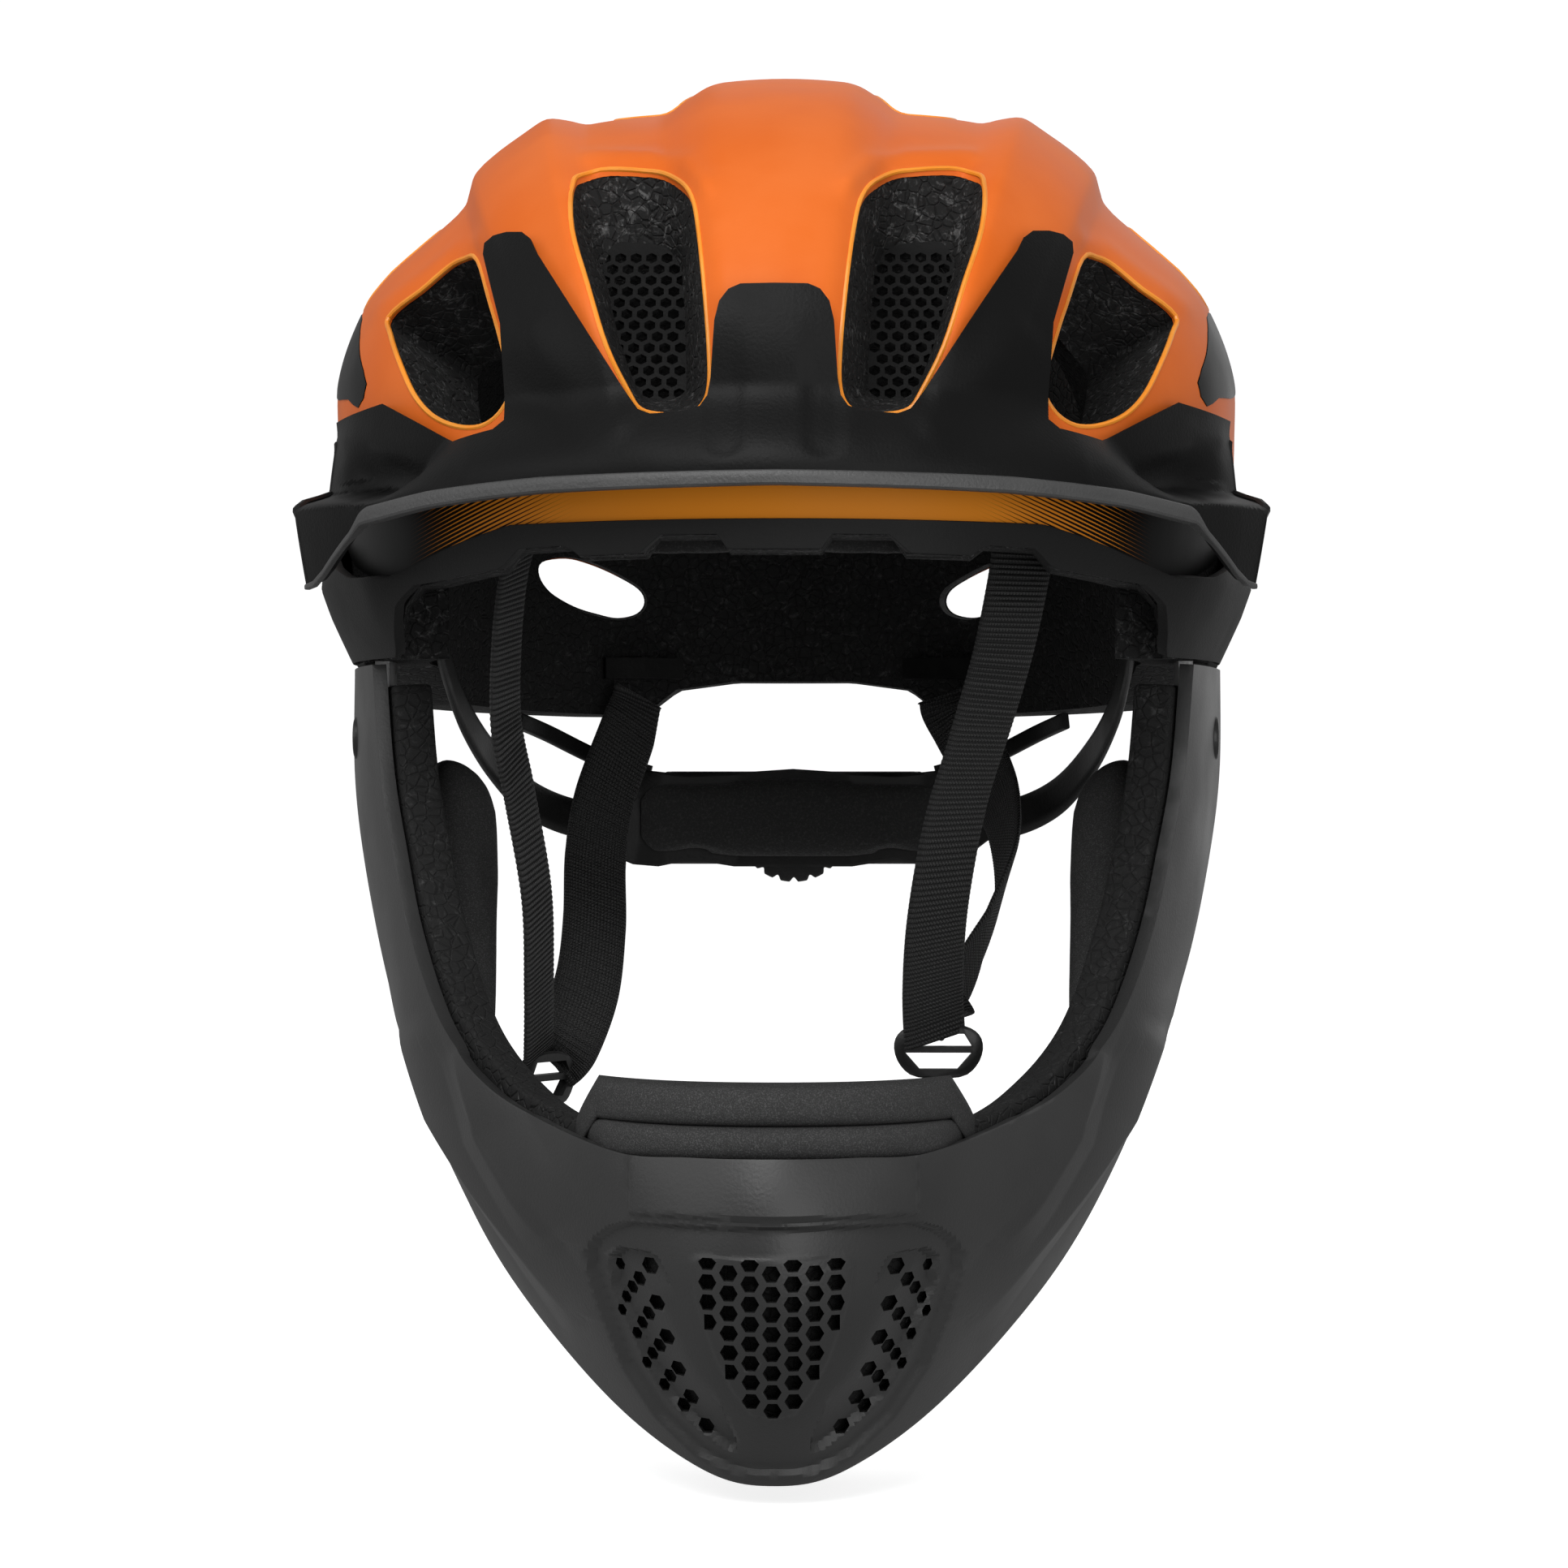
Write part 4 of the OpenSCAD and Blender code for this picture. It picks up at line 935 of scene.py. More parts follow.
def addNets():
    tilt = math.radians(net["tilt"])

    def place(x, up, depth):
        return (net["at"][0] + x, net["at"][1] + up * math.sin(tilt) + depth * math.cos(tilt),
                net["at"][2] + up * math.cos(tilt) - depth * math.sin(tilt))
    outline = rectangle(-net["half"], net["half"], net["low"], net["high"])
    plate = prism("insectNetRight", outline, place, -0.5 * net["thick"], 0.5 * net["thick"])
    rows = int((net["high"] - net["low"] - 3) / (net["pitch"] * 0.866))
    holes, r = [], net["hole"] / 2
    for j in range(rows):
        for i in range(-3, 4):
            x, up = net["pitch"] * (i + 0.5 * (j % 2)), net["low"] + 2.8 + j * net["pitch"] * 0.866
            if abs(x) < 9.2:
                corners = [(x + r * math.sin(a), up + r * math.cos(a)) for a in turns(6)]
                holes.append(prism("netHole", corners, place, -2, 2))
    cut(plate, join(*holes))
    dressPair(plate, "root", "net_black", "net")


addNets()
print("nets cut")


# visor: three prongs that clip to the crown, and a brim with a paler lip
visor = {
    "top": 74, "wing": 54, "gap": 0.5, "thick": 2.4, "columns": 240, "rows": 84,
    "ends": [(0, 52.5), (15.5, 54.2), (20, 60), (36, 63.5), (74, 66)],
    "lip": [(0, 16.7), (12, 16.2), (18, 15.9), (24, 15.1), (30, 14.2), (36, 12.8), (41, 11.7), (43.5, 8.8),
        (49.5, 2.2), (52, 0.2), (57, -1)],
    "lipHigh": [(0, 2.8), (30, 3.1), (40, 3.2), (43, 1.4), (57, 1)],
    "outline": [(0, 56.3), (6.5, 56.2), (8.8, 55.2), (10.6, 52.8), (11.5, 49), (12.2, 38), (12.8, 34.5),
        (14.2, 32.4), (17, 31.4), (23.8, 31), (26.2, 32), (28.6, 35.4), (47.2, 64.6), (48.6, 67.6),
        (50.6, 69.4), (54, 69.9), (57, 69.6), (58.8, 68.2), (58.9, 65.8), (54.4, 50.6), (53.3, 36),
        (53.2, 31.2), (55.4, 29.4), (64.2, 27.8), (81, 37.5), (93, 36.1), (112, 34)],
    # raised or sunk lines: the line, how high, how wide above and below, whether its far end dies out
    "creases": [([(-50.7, 49.9), (-27, 27)], 1.3, 9, 9, 0), ([(-84.5, 22.2), (-74, 21), (-61, 20)], -2.6, 8.5,
        4.5, 1), ([(-90, 31.5), (-84, 30.6), (-61, 19.5)], 0.8, 5, 4, 1)],
    "flutes": [(9.6, 4.6, 21)]}


def visorRelief(x, z):
    high = 0
    for line, lift, above, below, dying in visor["creases"]:
        gap, k = lineGap(-abs(x), z, line)
        width = above if z > lookUp(-abs(x), line) else below
        ends = (1 - k) ** 0.6 if dying else min(1, 6 * k + 0.4, 6 * (1 - k) + 0.4)
        high += lift * smooth(1 - gap / width) * ends
    for middle, wide, foot in visor["flutes"]:
        aside = math.hypot(abs(x) - middle, min(z - foot - wide, 0))
        high -= 0.55 * smooth((wide - aside) / 2.4) * smooth((52 - z) / 14)
    return high


def lipBottom(u):
    return lookUp(abs(u) * visor["wing"], visor["lip"])


def lipHeight(u):
    return lookUp(abs(u) * visor["wing"], visor["lipHigh"])


def visorPoint(u, v, g):
    low = lipBottom(u) + lipHeight(u)
    z = mix(low, visor["top"], v)
    return visorAt(u, z, low, g)


def visorAt(u, z, low, g):
    deg = abs(u) * visor["wing"]
    az = math.radians(u * lookUp(z, visor["ends"]))
    flat = mix(low, 15.8, smooth((deg - 37) / 6)) if low < 15.8 else low
    lift = 1 - smooth((z - flat) / mix(18, 4.6, smooth((deg - 22) / 16)))
    brim = mix(11, 17, min(abs(u), 1) ** 1.6) * lift * (1 - 0.12 * lift)
    wing = 4.6 * (1 - lift) * smooth((deg - 42) / 8) * max(1 - (z - 16) / 17, 0)
    p = levelPoint(az, z, visor["gap"] + (brim + wing) + g)
    high = max(ribHeight(p), 0) + (visorRelief(p.x, p.z) if g > 1 else 0)
    return p + high * Vector((p.x, p.y - midY, (p.z - midZ) / 2)).normalized()


visorRows = spread([(0, 0), (0.35, 40), (1, 44)])


def addVisor():
    rows = len(visorRows) - 1

    def place(u, v):
        return visorPoint(2 * u - 1, visorRows[round(v * rows)], visor["thick"])
    plate = gridPiece("clipVisor", visor["columns"], rows, place)
    thicken(plate, visor["thick"])
    outline = bothSides(visor["outline"]) + [(112, -30), (-112, -30)]
    cut(plate, prism("prongTool", outline, frontPlane, -190, 40), "INTERSECT")
    paintWith(plate, finish["visor_black"])
    section = [(-0.2, 1.05), (1.4, 1.08), (2.5, 1.05), (2.85, 0.97), (3.1, 0.8), (3.2, 0.5), (3.1, 0.16),
               (2.7, 0.02), (1.3, -0.02), (0, 0), (-0.3, 0.2), (-0.3, 0.8)]

    def lipRing(u):
        high, low = lipHeight(u), lipBottom(u)
        edge = visorAt(u, low + high, low + high, 0)
        edge.z = low
        out = Vector((edge.x, edge.y - midY, 0)).normalized()
        # the lip is paler plastic; beyond the brim's corner only a thin bright rim of it stays, a painted
        # highlight on the wing's lower edge
        near = 1.9 * smooth((abs(u) * visor["wing"] - 40) / 5)
        return [edge + out * mix(a, 3.2, near / 3.2) + Vector((0, 0, b * high)) for a, b in section]
    parts = [paintWith(loft("visorLip", [lipRing(i / 110 - 1) for i in range(221)]), finish["lip"])]
    for side in (1, -1):
        edge = [visorPoint(side, v, 1.2) for v in spread([(0.0, 0), (0.42, 24)])]
        parts.append(paintWith(tubePiece("wingEnd", edge, 1.35, 10), finish["visor_black"]))
    return dress(join(plate, *parts), "visor", "visor_black", "visor", angle=28)


addVisor()
print("visor modelled")


# chin guard
guard = {
    "front": [(86, -38, -15), (84, -41, -37), (80.5, -48, -54), (76, -58, -71), (69, -71, -87),
        (59, -87, -98), (48.5, -101, -104.5), (30, -126, -110), (15, -137, -110.5), (0, -142, -110.5)],
    "rear": [(95.3, 12, -15), (94.8, 7, -37), (92, 0, -56), (87, -6, -78), (79, -19, -99), (69, -37, -121),
        (54.6, -64, -141), (33, -95, -161), (14, -115, -172), (0, -120, -174.5)],
    "bulge": [(b, 0) for b in (1.5, 1.5, 2, 3, 5, 6.4, 6.6, 8, 11.5, 13)], "thick": 3, "foam": 9,
    "columns": [(-1, 0), (-0.5, 45), (0.5, 236), (1, 45)], "rows": 112, "hole": 3.55, "pitch": 4.03,
    "rowStep": 3.86,
    # ridge lines: the line, how high, how wide above it and below it
    "ridges": [([(-79, -90), (-77, -94), (-70.6, -108), (-60, -121), (-50.6, -132), (-41, -144)], 2.6, 9, 4),
        ([(-65, -93), (-62.7, -98.5), (-58.3, -110), (-50.2, -122), (-45, -129)], 2.2, 11, 4)],
    "panel": (27, -121.6),
    "recess": [(0, -122.2), (-27, -122.6), (-31.5, -124.2), (-34.6, -126.8), (-36.6, -130), (-36.2, -134),
        (-33.5, -142.5), (-29.6, -153), (-23, -162.6), (-15, -169.4), (-8, -172.4), (0, -172.8)],
    "field": [(-22.4, -130.4), (-24.6, -128.6), (-30.2, -128.4), (-32.9, -130.7), (-32.3, -137.3),
        (-29.4, -143.6), (-25.4, -153), (-21.8, -159), (-14.4, -165.4), (-9.6, -168.6), (-7.4, -168.4),
        (-7.6, -166.6)],
    "frame": [(-15, -128.2), (-16.6, -129.6), (-15.4, -138), (-11.6, -149), (-8.2, -155.6), (-4.6, -160.4),
        (0, -161.4)],
    "perColumn": [8, 7, 5, 2],
    "sideHoles": [(-29.4, -131.9, 0.95), (-23.3, -131.4, 1.7), (-25.5, -134.2, 1.35), (-27, -136.2, 1.15),
        (-28.3, -138.4, 1), (-29.2, -141, 0.9), (-22, -138.4, 1.65), (-23.8, -141, 1.35),
        (-25.2, -143.2, 1.15), (-26.3, -145.4, 1), (-20.2, -145.1, 1.65), (-21.8, -147.3, 1.35),
        (-23.3, -149.3, 1.15), (-24.5, -151.2, 1), (-18.1, -151.4, 1.6), (-19.9, -153.4, 1.3),
        (-21.1, -155.4, 1.1), (-15.8, -157.1, 1.6), (-17.3, -159.1, 1.35), (-12.9, -162.8, 1.6)]}


def wholeLine(half):  # a line from its left half, whose last point is on the middle line
    return half + [(-p[0], *p[1:]) for p in reversed(half[:-1])]


guardEdges = [wholeLine(guard["front"]), wholeLine(guard["rear"]), guard["bulge"] + guard["bulge"][-2::-1]]
recess, frameLine = wholeLine(guard["recess"])[:-1], wholeLine(guard["frame"])


def guardFace(s, w):
    k = 1 - abs(s)
    a, b, swell = (curveAt(edge, k / 2) for edge in guardEdges)
    out = Vector((a.x, (a.y + b.y) / 2 + 20, -18 * k)).normalized()
    p = a + (b - a) * w + out * swell.x * 4 * w * (1 - w) * (1 - 0.3 * w)
    return Vector((p.x if s > 0 else -p.x, p.y, p.z))


def guardRelief(x, z):  # creases on the sides, a flat panel, the sunk vent field and its groove
    x, high = -abs(x), 0
    for line, lift, above, below in guard["ridges"]:
        gap, k = lineGap(x, z, line)
        width = above if z > lookUp(-x, [(-a, b) for a, b in reversed(line)]) else below
        high += lift * max(1 - gap / width, 0) * math.sin(math.pi * min(max(k, 0.02), 0.98)) ** 0.6
    wide, foot = guard["panel"]
    high += 1.2 * smooth((wide + x) / 1.6 + 0.5) * smooth((z - foot) / 0.8)
    if z > -121 or x < -38:
        return high
    high -= 1.5 * smooth(depthIn(x, z, recess) / 1.1)
    if inside(x, z, guard["field"]):
        gap = lineGap(x, z, guard["field"][1:])[0]
        high -= 1.5 * smooth(gap / 0.8) * (1 - smooth((gap - 2) / 8))
    high += 0.4 * smooth(depthIn(x, z, frameLine) / 0.7)
    return high


def guardPoint(s, w, g, relief=False):
    e = 0.01
    p = guardFace(s, w)
    a = guardFace(max(s - e, -1), w) - guardFace(min(s + e, 1), w)
    b = guardFace(s, w + e) - guardFace(s, w - e)
    return p + b.cross(a).normalized() * (g - (guardRelief(p.x, p.z) if relief else 0))


guardColumns = spread(guard["columns"])


def guardHoles():
    shapes, top, r = [], -128.7, guard["hole"] / 2
    for i in range(-3, 4):
        odd = abs(i) % 2
        for j in range(-odd, guard["perColumn"][abs(i)] + (1 if abs(i) > 1 else 0)):
            z = -131.4 - (j + odd / 2) * guard["rowStep"]
            limit = lookUp(-z, [(128, 14.4), (138, 13.6), (146, 11.4), (150, 9.2), (162, 4)])
            whole = hexagon(i * guard["pitch"], z, r, r)
            corners = [(max(min(a, limit), -limit), min(b, top)) for a, b in whole]
            if max(a for a, b in corners) - min(a for a, b in corners) > 1.4:
                shapes.append(corners)
    for side in (-1, 1):
        for x, z, wide in guard["sideHoles"]:
            shapes.append(hexagon(-side * x, z, wide * side, 0.7 + 0.62 * wide, 0.25 * side))
    return join(*[prism("guardHole", corners, frontPlane, -195, -105) for corners in shapes])


def addGuard():
    last = len(guardColumns) - 1

    def place(u, v):
        return guardPoint(guardColumns[round(u * last)], 1 - v, 0, True)
    shell = gridPiece("chinGuard", last, guard["rows"], place)
    thicken(shell, guard["thick"])
    softenEdges(shell, 0.9)
    cut(shell, guardHoles())

    def behind(u, v):
        return guardPoint(mix(-0.32, 0.32, u), mix(0.98, 0.2, v), guard["thick"] + 1.4)
    screen = gridPiece("ventScreen", 60, 40, behind)
    thicken(screen, 1)
    dress(screen, "guard", "guard_foam", look="vent_screen")
    return dress(shell, "guard", "guard_grey", "guard_shell", angle=25)


def foamPoint(s, v):  # the foam shows as a strip past the shell's edge, apart from the chin
    first = mix(0.03, -0.055, smooth((abs(s) - 0.21) / 0.06))
    return guardPoint(s, mix(0.92, first, v), guard["thick"] + 0.7)


def addGuardFoam():
    foam = gridPiece("guardFoam", 150, 30, lambda u, v: foamPoint(mix(-0.97, 0.97, u), v))
    thicken(foam, guard["foam"] - 0.7)
    softenEdges(foam, 1.5)
    cut(foam, prism("ventGap", rectangle(-34, 34, -168, -126), frontPlane, -200, -90))
    for side in (1, -1):
        gap = rectangle(side * 85 - 3.6, side * 85 + 3.6, -55, -5)
        cut(foam, prism("hookGap", gap, frontPlane, -30.5, -9.5))
        cut(foam, tubePiece("buttonGap", [(side * 78, -4, -30), (side * 108, -4, -30)], 5.3, 32))
    return dress(foam, "guard", "guard_foam", "guard_liner", angle=30)


addGuard()
addGuardFoam()
print("chin guard modelled")


# pads
# a crowned closed form; place takes across, along and height
def pillow(name, place, rings=26, around=104, square=4.5, edge=0.42):
    loops = []
    for i in range(rings):
        phi = math.radians(mix(-78, 87, i / (rings - 1)))
        r, h = math.cos(phi) ** edge, 0.5 + 0.5 * math.sin(phi)
        loop = []
        for a in turns(around):
            q = r * (abs(math.cos(a)) ** square + abs(math.sin(a)) ** square) ** (-1 / square)
            loop.append(place(0.5 + 0.5 * q * math.cos(a), 0.5 + 0.5 * q * math.sin(a), h))
        loops.append(loop)
    return loft(name, loops)


def puffed(pad, voxel=1.5, cap=1.1):  # the pad's cover, blown up a little by a cloth simulation
    modify(pad, "REMESH", mode="VOXEL", voxel_size=voxel * mm)
    start = [v.co.copy() for v in pad.data.vertices]
    cover = pad.modifiers.new("cover", "CLOTH")
    cover.settings.use_pressure = True
    cover.settings.uniform_pressure_force = 4
    cover.settings.effector_weights.gravity = 0
    for step in range(1, 21):
        bpy.context.scene.frame_set(step)
    blown = pad.evaluated_get(bpy.context.evaluated_depsgraph_get()).data
    ends = [v.co.copy() for v in blown.vertices]
    pad.modifiers.remove(cover)
    bpy.context.scene.frame_set(1)
    for v, a, b in zip(pad.data.vertices, start, ends):
        way = b - a
        v.co = a + way * min(1, cap * mm / max(way.length, 1e-9))
    return modify(pad, "SUBSURF", levels=1, render_levels=1)


def crowned(u, v):
    return math.sqrt(max(1 - (2 * u - 1) ** 4, 0) * max(1 - (2 * v - 1) ** 4, 0))


def cavityPad(name, node, az, el):
    def place(u, v, h):
        high = 0.4 + h * 6 * (0.45 + 0.55 * crowned(u, v))
        return cavityPoint(math.radians(mix(*az, u)), math.radians(mix(*el, v)), high)
    pad = puffed(pillow(name, place))
    dress(pad, "root", "pad_fabric", node, look="brushed_pad")


def addHeadPads():
    cavityPad("browPad", "brow_pad", (-25, 25), (3, 15))
    cavityPad("crownPad", "crown_pad", (-11, 11), (42, 80))
    cavityPad("sidePadLeft", "side_pad_left", (-104, -66), (4, 17))
    cavityPad("sidePadRight", "side_pad_right", (66, 104), (4, 17))


def addCheekPads():
    def place(u, v, h):
        high = 12.4 + h * mix(4, 19, u) * (0.55 + 0.45 * crowned(u, v))
        return guardPoint(mix(0.5, 0.9, u), mix(0.26, 0.86, v), high)
    pad = puffed(pillow("cheekPadRight", place, rings=30), voxel=2)
    for piece in dressPair(pad, "guard", "pad_fabric", "cheek_pad"):
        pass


chinPad = {
    "half": 38, "y": -121, "z": -109.8, "back": 13,
    "band": [(-4, 5.6), (-3.2, 8), (-4, 11), (-5.4, 12.5), (-7, 13), (-10.5, 13.4), (-14, 13), (-15.6, 12.2),
        (-16.4, 10.6), (-16.7, 8.6), (-16.4, 6.6), (-14.8, 5.4), (-9, 5.1)],
    "slab": [(-4, -5), (-3.2, 1), (-4, 4.2), (-9, 5.2), (-14.8, 5.3), (-16.8, 4.6), (-17.8, 3), (-17.7, 0.8),
        (-16.6, -0.9), (-14, -1.7), (-10, -4.4)],
    "strip": {"half": 22, "y": -137.6, "z": -109.3, "thick": 0.85}}


# shape takes how far out it is and gives its size and how far it drops
def chinRow(name, section, half, middle, shape):
    rings = []
    for i in range(101):
        k = i / 50 - 1
        x, (size, drop) = k * half, shape(abs(k))
        back = chinPad["back"] * ((x / chinPad["half"]) ** 2 + (x / chinPad["half"]) ** 4)
        ring = []
        for a, b in roundLoop(section, 3):
            a, b = mix(middle[0], a, size), mix(middle[1], b, size)
            ring.append((x, chinPad["y"] + a + back, chinPad["z"] + 0.3 * k * k + b - drop))
        rings.append(ring)
    return loft(name, rings)


def addChinPad():
    def bandShape(k):
        return 0.3 + 0.7 * max(1 - k ** 30, 0) ** 0.5, 9 * max(k - 0.86, 0) / 0.14

    def slabShape(k):
        return 0.12 + 0.88 * max(1 - max(k - 0.84, 0) / 0.16, 0) ** 0.55, 0
    band = chinRow("chinPad", chinPad["band"], 39.5, (-10, 9.2), bandShape)
    slab = chinRow("chinSlab", chinPad["slab"], 38.4, (-10, 4.4), slabShape)
    strip = chinPad["strip"]
    across = spread([(-strip["half"], 0), (strip["half"], 24)])
    path = [(x, strip["y"] + 5 * (x / 15) ** 2, strip["z"]) for x in across]
    pad = join(band, slab, tubePiece("chinStrip", path, strip["thick"], 10))
    dress(pad, "guard", "pad_fabric", "chin_pad", angle=60)


addHeadPads()
addCheekPads()
addChinPad()
print("pads modelled")


# webbing, bands and struts: ribbons along their routes
def evenly(route, step):  # points a step apart along a smooth curve
    fine = [curveAt(route, i / 600) for i in range(601)]
    total = sum((b - a).length for a, b in zip(fine, fine[1:]))
    count = max(int(total / step), 2)
    points, travelled, target = [fine[0]], 0, total / count
    for a, b in zip(fine, fine[1:]):
        travelled += (b - a).length
        if travelled >= target * len(points) - 1e-6 and len(points) <= count:
            points.append(b)
    return points, total


def ribbon(name, route, wide, thick, up=(0, 0, 1), ribs=0, step=0.3, rims=0.0):
    points, total = evenly(route, step)
    up, n, rings = Vector(up), len(points), []
    stops = [-1, -0.97, -0.88, -0.72, -0.5, -0.25, 0, 0.25, 0.5, 0.72, 0.88, 0.97, 1]
    for i, p in enumerate(points):
        along = (points[min(i + 1, n - 1)] - points[max(i - 1, 0)]).normalized()
        side = (up - up.dot(along) * along).normalized()
        out = along.cross(side)
        swell = ribs * abs(math.sin(math.pi * total * i / (n - 1) / ribPitch)) if ribs else 0
        loop = []
        for face in (1, -1):
            for c in stops if face > 0 else reversed(stops):
                edge = math.sqrt(max(1 - abs(c) ** 14, 0))
                high = (thick / 2 - ribs) * edge + swell * edge + rims * smooth((abs(c) - 0.7) / 0.15) * edge
                loop.append(p + side * wide / 2 * c + out * face * high)
        rings.append(loop)
    obj = loft(name, rings)
    for corner in obj.data.uv_layers[0].data:
        corner.uv.y *= total / 100
    return obj


headFront, headBack = -93, 101
straps = {
    "frontRight": {
        "route": [(49.5, headFront + 22, 9), (48.5, headFront + 23.5, 2), (45.5, headFront + 28, -13),
            (41, -60, -29), (36, -53, -46), (32.5, -45, -66), (31.5, -38, -82), (32, -32, -94)],
        "up": (1, 0.5, 0.35), "node": "front_strap_right"},
    "frontLeft": {
        "route": [(-52.5, headFront + 29, 9), (-54.8, headFront + 32, 1), (-56.3, headFront + 35, -13),
            (-56.5, -55, -28), (-54, -50, -43), (-51, -45, -63), (-51, -38, -82), (-51.5, -33, -97)],
        "up": (0.34, 1, 0.2), "node": "front_strap_left"},
    "rearRight": {
        "route": [(36.6, headBack - 13.2, -18.6), (39, headBack - 17, -25), (46, 66, -39), (49, 48, -48),
            (48.5, 22, -60), (43, -4, -73), (37, -19, -84), (35, -24, -91)],
        "up": (0.3, 0.4, 1), "node": "rear_strap_right"},
    "rearLeft": {
        "route": [(-36.6, headBack - 13.2, -19), (-38.6, headBack - 17, -27), (-43.5, 66, -44),
            (-44.3, 48, -57), (-43, 22, -71), (-43.3, 0, -84), (-46.5, -19, -95), (-49.5, -25, -98.5)],
        "up": (0.72, 0.66, 0), "node": "rear_strap_left"},
    "chinRight": {
        "route": [(32.5, -30, -102), (31, -31, -116), (25, -32, -130), (17.5, -33, -138.5),
            (15.1, -33, -140)],
        "up": (0, 1, 0), "node": "chin_strap_right"},
    "chinLeft": {
        "route": [(-50, -30, -108), (-46, -31, -120), (-36, -32, -132), (-21, -33, -139), (-15.8, -33, -140)],
        "up": (0, 1, 0), "node": "chin_strap_left"}}


def addStraps():
    for name, strap in straps.items():
        piece = ribbon(name + "Strap", strap["route"], 15, 1.4, strap["up"], ribs=0.3, step=0.22)
        if name == "chinRight":
            dress(piece, None, "webbing_black", strap["node"], angle=80)
            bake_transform(piece)
        else:
            dress(piece, "root", "webbing_black", strap["node"], angle=80)


band = {
    "route": [(28.5, 96.3, -48), (40, 96, -49), (52, 89, -48), (62, 75, -43), (69, 55, -34), (73, 30, -24),
        (74.5, 5, -14), (74.6, -12, -8)],
    "strut": [(34, 94, -37.6), (46, 94, -34), (58, 86, -28), (64, 76, -25.2)]}


def addBands():
    for side, name in ((1, "Right"), (-1, "Left")):
        low = name.lower()
        route, hanger = ([(side * x, y, z) for x, y, z in band[key]] for key in ("route", "strut"))
        piece = ribbon("headband" + name, route, 9, 1.6, step=1.5, rims=-0.3)
        dress(piece, None, "cradle_plastic", "band_" + low, angle=60)
        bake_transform(piece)
        strut = ribbon("cradleStrut" + name, hanger, 4, 2, step=1)
        dress(strut, "root", "cradle_plastic", "strut_" + low, angle=60)


addStraps()
addBands()
print("webbing and headband modelled")


# fit cradle and dial
cradle = {
    "at": (0, 95, -48), "half": 31, "deep": 4.5, "high": 11, "channel": 8.05, "shaft": -2,
    "dialAt": (0, 101.9, -50), "dialR": 13.5, "grips": 20,
    "rim": [(0, -36.4), (12, -37.2), (25, -37.8), (36, -36.6), (42, -37.4), (48, -41)],
    "foot": [(0, -59.6), (14, -59.6), (24, -58), (32, -59.6), (39, -59), (48, -52)]}


def block(name, low, high, soften):  # a block between two corners with softened edges
    bpy.ops.mesh.primitive_cube_add(size=1)
    obj = bpy.context.object
    obj.name = obj.data.name = name
    for v in obj.data.vertices:
        v.co = Vector([mix(low[k], high[k], v.co[k] + 0.5) for k in range(3)]) * mm
    return modify(obj, "BEVEL", width=soften * mm, segments=4) if soften else obj


def cradleFront(x):  # the head's side of the body and its wings
    return cradle["at"][1] - 4.6 - 0.011 * max(abs(x) - 30, 0) ** 2


def addCradle():
    deselect()
    _, y, z = cradle["at"]
    half, deep, high, channel = (cradle[key] for key in ("half", "deep", "high", "channel"))
    shaft = z + cradle["shaft"]
    body = block("cradleBody", (-half, y - deep, z - high), (half, y + deep, z + high), 2.2)
    cut(body, block("channel", (-half - 2, y - 1, shaft - channel), (half + 2, y + 8, shaft + channel), 0))
    cut(body, tubePiece("shaftHole", [(0, y - 9, shaft), (0, y + 9, shaft)], 1.5, 24))
    section = [(0.5, 0), (0, 0.03), (-0.3, 0.5), (0, 0.97), (0.5, 1), (2.4, 1), (2.8, 0.97), (2.8, 0.03),
               (2.4, 0)]

    def wingRing(a):
        low, high = (lookUp(abs(a), cradle[edge]) for edge in ("foot", "rim"))
        return [(a, cradleFront(a) + d, mix(low, high, k)) for d, k in section]
    wings = loft("cradleWings", [wingRing(a) for a in range(-48, 49, 2)])
    dress(join(body, wings), "root", "cradle_plastic", "cradle_body")
    cover = block("cradleCover", (-half, y + deep + 0.1, z - high), (half, y + deep + 2.1, z + high), 0.9)
    cut(cover, tubePiece("sleeveHole", [(0, y, shaft), (0, y + 12, shaft)], 3.1, 32))
    dress(cover, "root", "cradle_plastic", "cradle_cover")

    def place(u, v, h):
        across = 74 * (u - 0.5)
        low, high = (lookUp(abs(across), cradle[edge]) for edge in ("foot", "rim"))
        return (across, cradleFront(across) - 0.35 - h * (0.8 + 3.2 * crowned(u, v)),
                mix(low + 1.2, high - 1.2, v))
    pad = puffed(pillow("cradlePad", place))
    dress(pad, "root", "pad_fabric", "cradle_pad", look="brushed_pad")


dialSteps = [(0, 1.0), (0.25, 0.3), (0.8, 0), (3.5, 0), (6.2, 0), (6.75, 0.3), (7, 1.0), (7, 3.2), (5.6, 3.8),
             (5.6, 9), (4, 9.3), (4, 10.2), (5, 10.3)]  # how far back and how far in


def addDial():
    x, y, z = cradle["dialAt"]
    rings = []
    for depth, shrink in dialSteps:
        ring = []
        for a in turns(240):
            notch = 1.1 * max(math.cos(cradle["grips"] * a), 0) ** 1.5 * (1 if shrink < 2 else 0)
            r = cradle["dialR"] - shrink - notch
            ring.append((x + r * math.cos(a), y + depth, z + r * math.sin(a)))
        rings.append(ring)
    dial = loft("fitDial", rings)
    dress(dial, "dial", "dial_rubber", "dial", angle=40)


addCradle()
addDial()
print("cradle and dial modelled")


# buckle, dividers and buttons
buckle = {"y": -33, "z": -140, "half": 12.5, "slot": 9.7, "prong": 9.5}


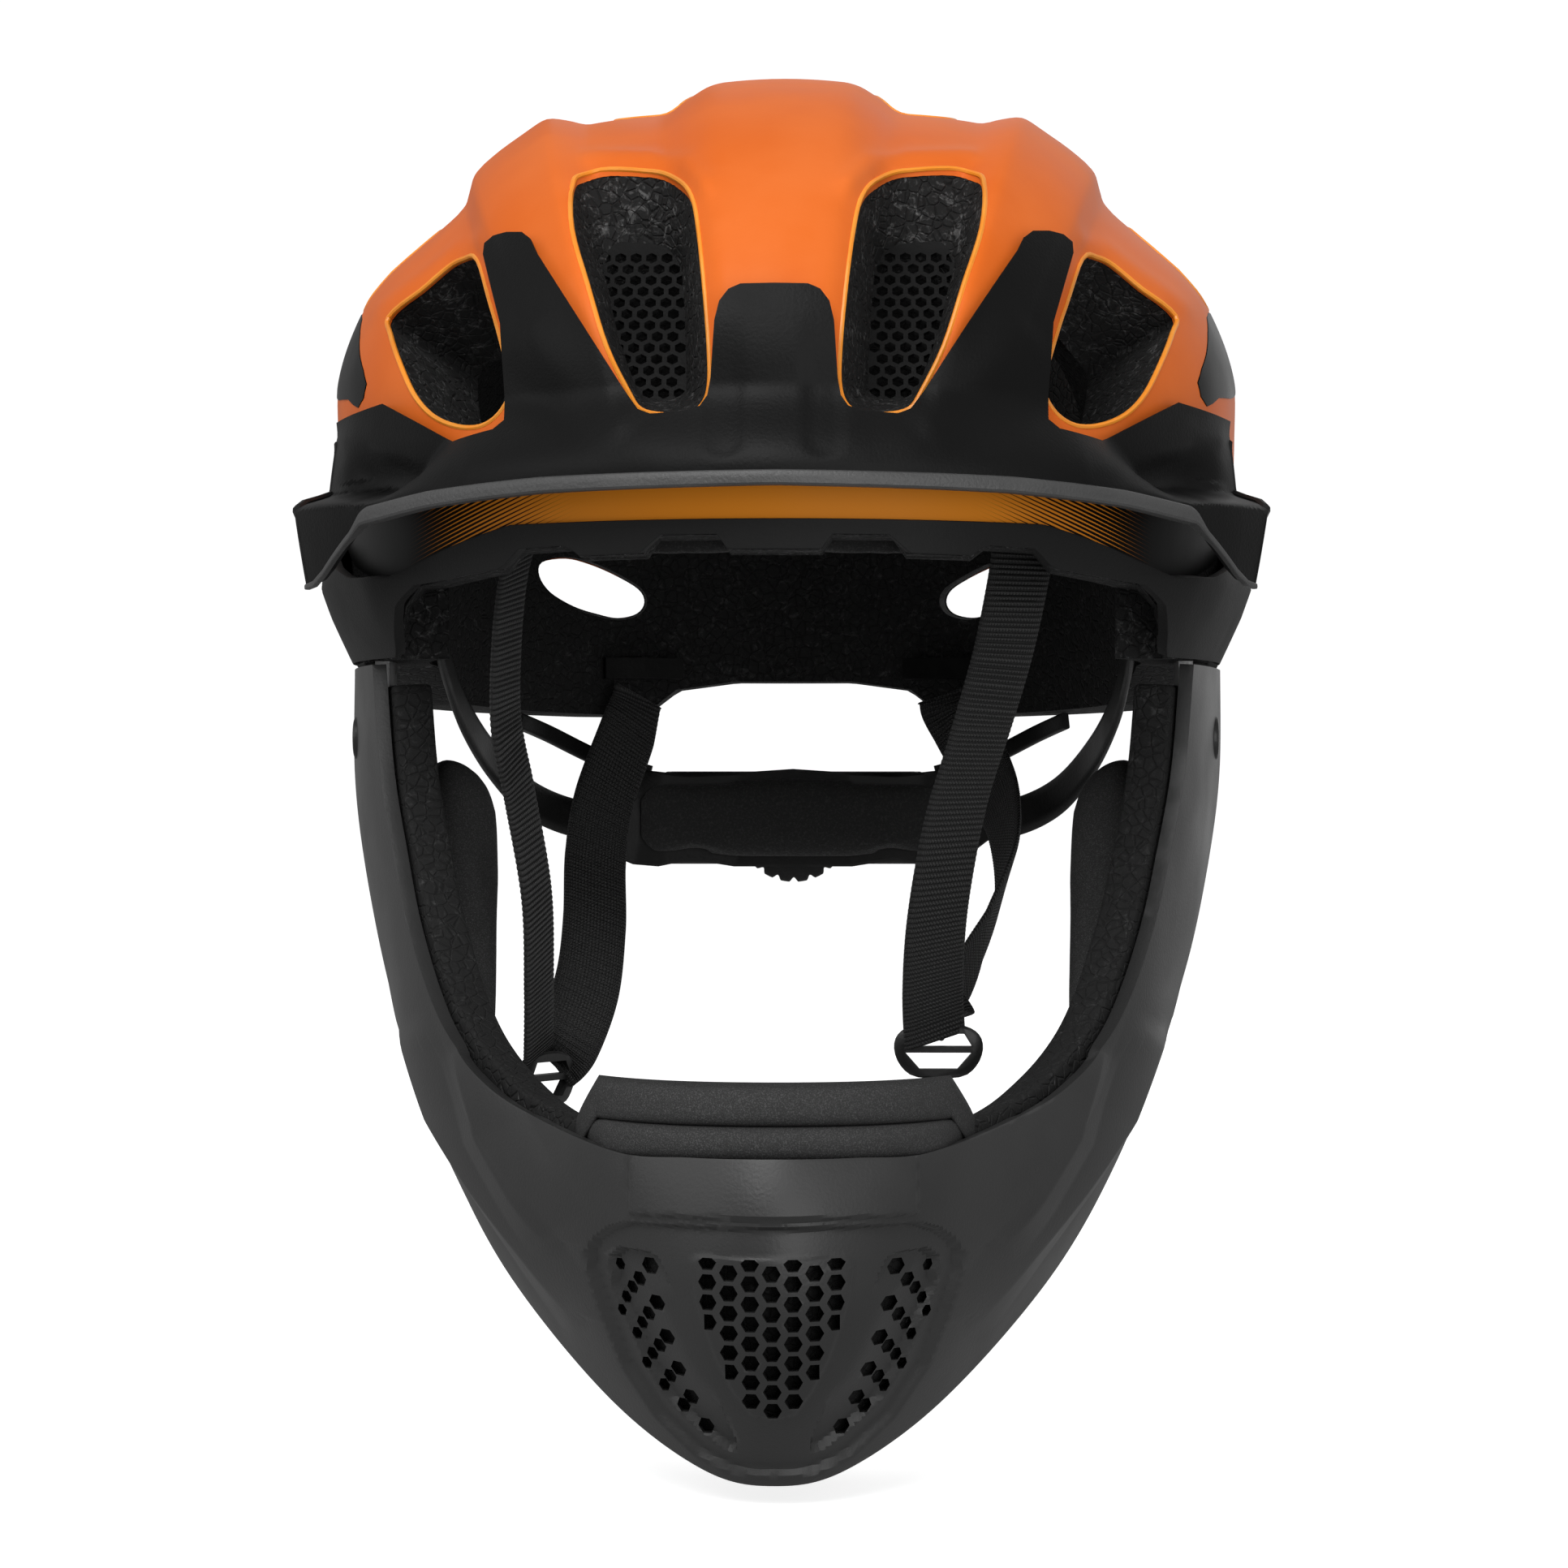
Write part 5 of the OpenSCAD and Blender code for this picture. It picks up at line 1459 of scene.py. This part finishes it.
def addBuckle():
    deselect()
    y, z, half, slot, prongHalf = buckle.values()

    def centred(name, left, right, wide, thick, soften=0):  # a block on the buckle's middle line
        return block(name, (left, y - wide, z - thick), (right, y + wide, z + thick), soften)
    socket = centred("buckleSocket", -15.5, 2.5, half, 4, 2)
    cut(socket, centred("slot", -11.5, 8, slot, 2))
    for low, high in ((-14, -8), (8, 14)):
        cut(socket, block("sideGap", (-9.5, y + low, z - 2), (-2.5, y + high, z + 2), 0))
    dress(socket, "root", "buckle_plastic", "buckle_socket")
    grip = centred("buckleTongue", 3, 14.5, half, 3, 1.6)
    cut(grip, centred("strapGap", 7, 10, 7.5, 5))
    prong = centred("prong", -11, 9, prongHalf, 1.8, 0.8)
    cut(prong, centred("prongGap", -14, 1, 5.5, 3))
    dress(join(grip, prong), "tongue", "buckle_plastic", "buckle_tongue")


dividers = {"Right": {"at": (32.8, -29, -96.5), "turn": 0}, "Left": {"at": (-50, -29, -102.5), "turn": 60}}


def addDividers():
    for name, divider in dividers.items():
        turned = math.radians(divider["turn"])
        x, y, z = divider["at"]

        def place(a, b, depth):
            return (x + a * math.cos(turned) - depth * math.sin(turned),
                    y + a * math.sin(turned) + depth * math.cos(turned), z + b)

        def outline(points, depth):
            return [place(p.x, p.y, depth) for p in roundLoop(points, 3)]
        outer = [(-9.4, 0.6), (-8.6, 3.6), (-5.6, 5.4), (0, 6), (5.6, 5.4), (8.6, 3.6), (9.4, 0.6), (8, -3),
                 (4.4, -5.4), (-4.4, -5.4), (-8, -3)]
        rings = [outline([(a * k, b * k) for a, b in outer], depth)
                 for depth, k in ((-1.3, 0.92), (-0.9, 1), (0.9, 1), (1.3, 0.92))]
        ring = loft("strapDivider" + name, rings)
        for gap in ([(-7, 1.2), (-5.4, 3.8), (5.4, 3.8), (7, 1.2)],
                    [(-7, -0.2), (7, -0.2), (4, -3.6), (-4, -3.6)]):
            cut(ring, prism("gap", gap, place, -3, 3))
        dress(ring, "root", "buckle_plastic", "divider_" + name.lower())


def addButtons():
    for side, name in ((1, "right"), (-1, "left")):
        rings = []
        for d, r in ((0, 4.4), (0.6, 5), (8.7, 5), (9.4, 4.6), (9.6, 4), (9.6, 3.4), (9.1, 2.8), (9.0, 1)):
            rings.append([(side * (84 + d), -4 + r * math.cos(a), -30 + r * math.sin(a)) for a in turns(48)])
        button = loft("guardButton" + name.capitalize(), rings)
        dress(button, "button_" + name, "button_plastic", "guard_button_" + name)


addBuckle()
addDividers()
addButtons()

# the small hard parts keep the model's own shapes
slots = {s["node"]: s["material_slot"] for s in frame["record"]["subparts"]}
for nodeName in ("guard_hooks", "hook_socket_left", "hook_socket_right", "guard_screws", "pinion",
                 "dial_screw", "rack_left", "rack_right", "front_anchors", "rear_anchors"):
    paintWith(frame["nodes"][nodeName], finish[slots[nodeName]])
print("fittings finished")
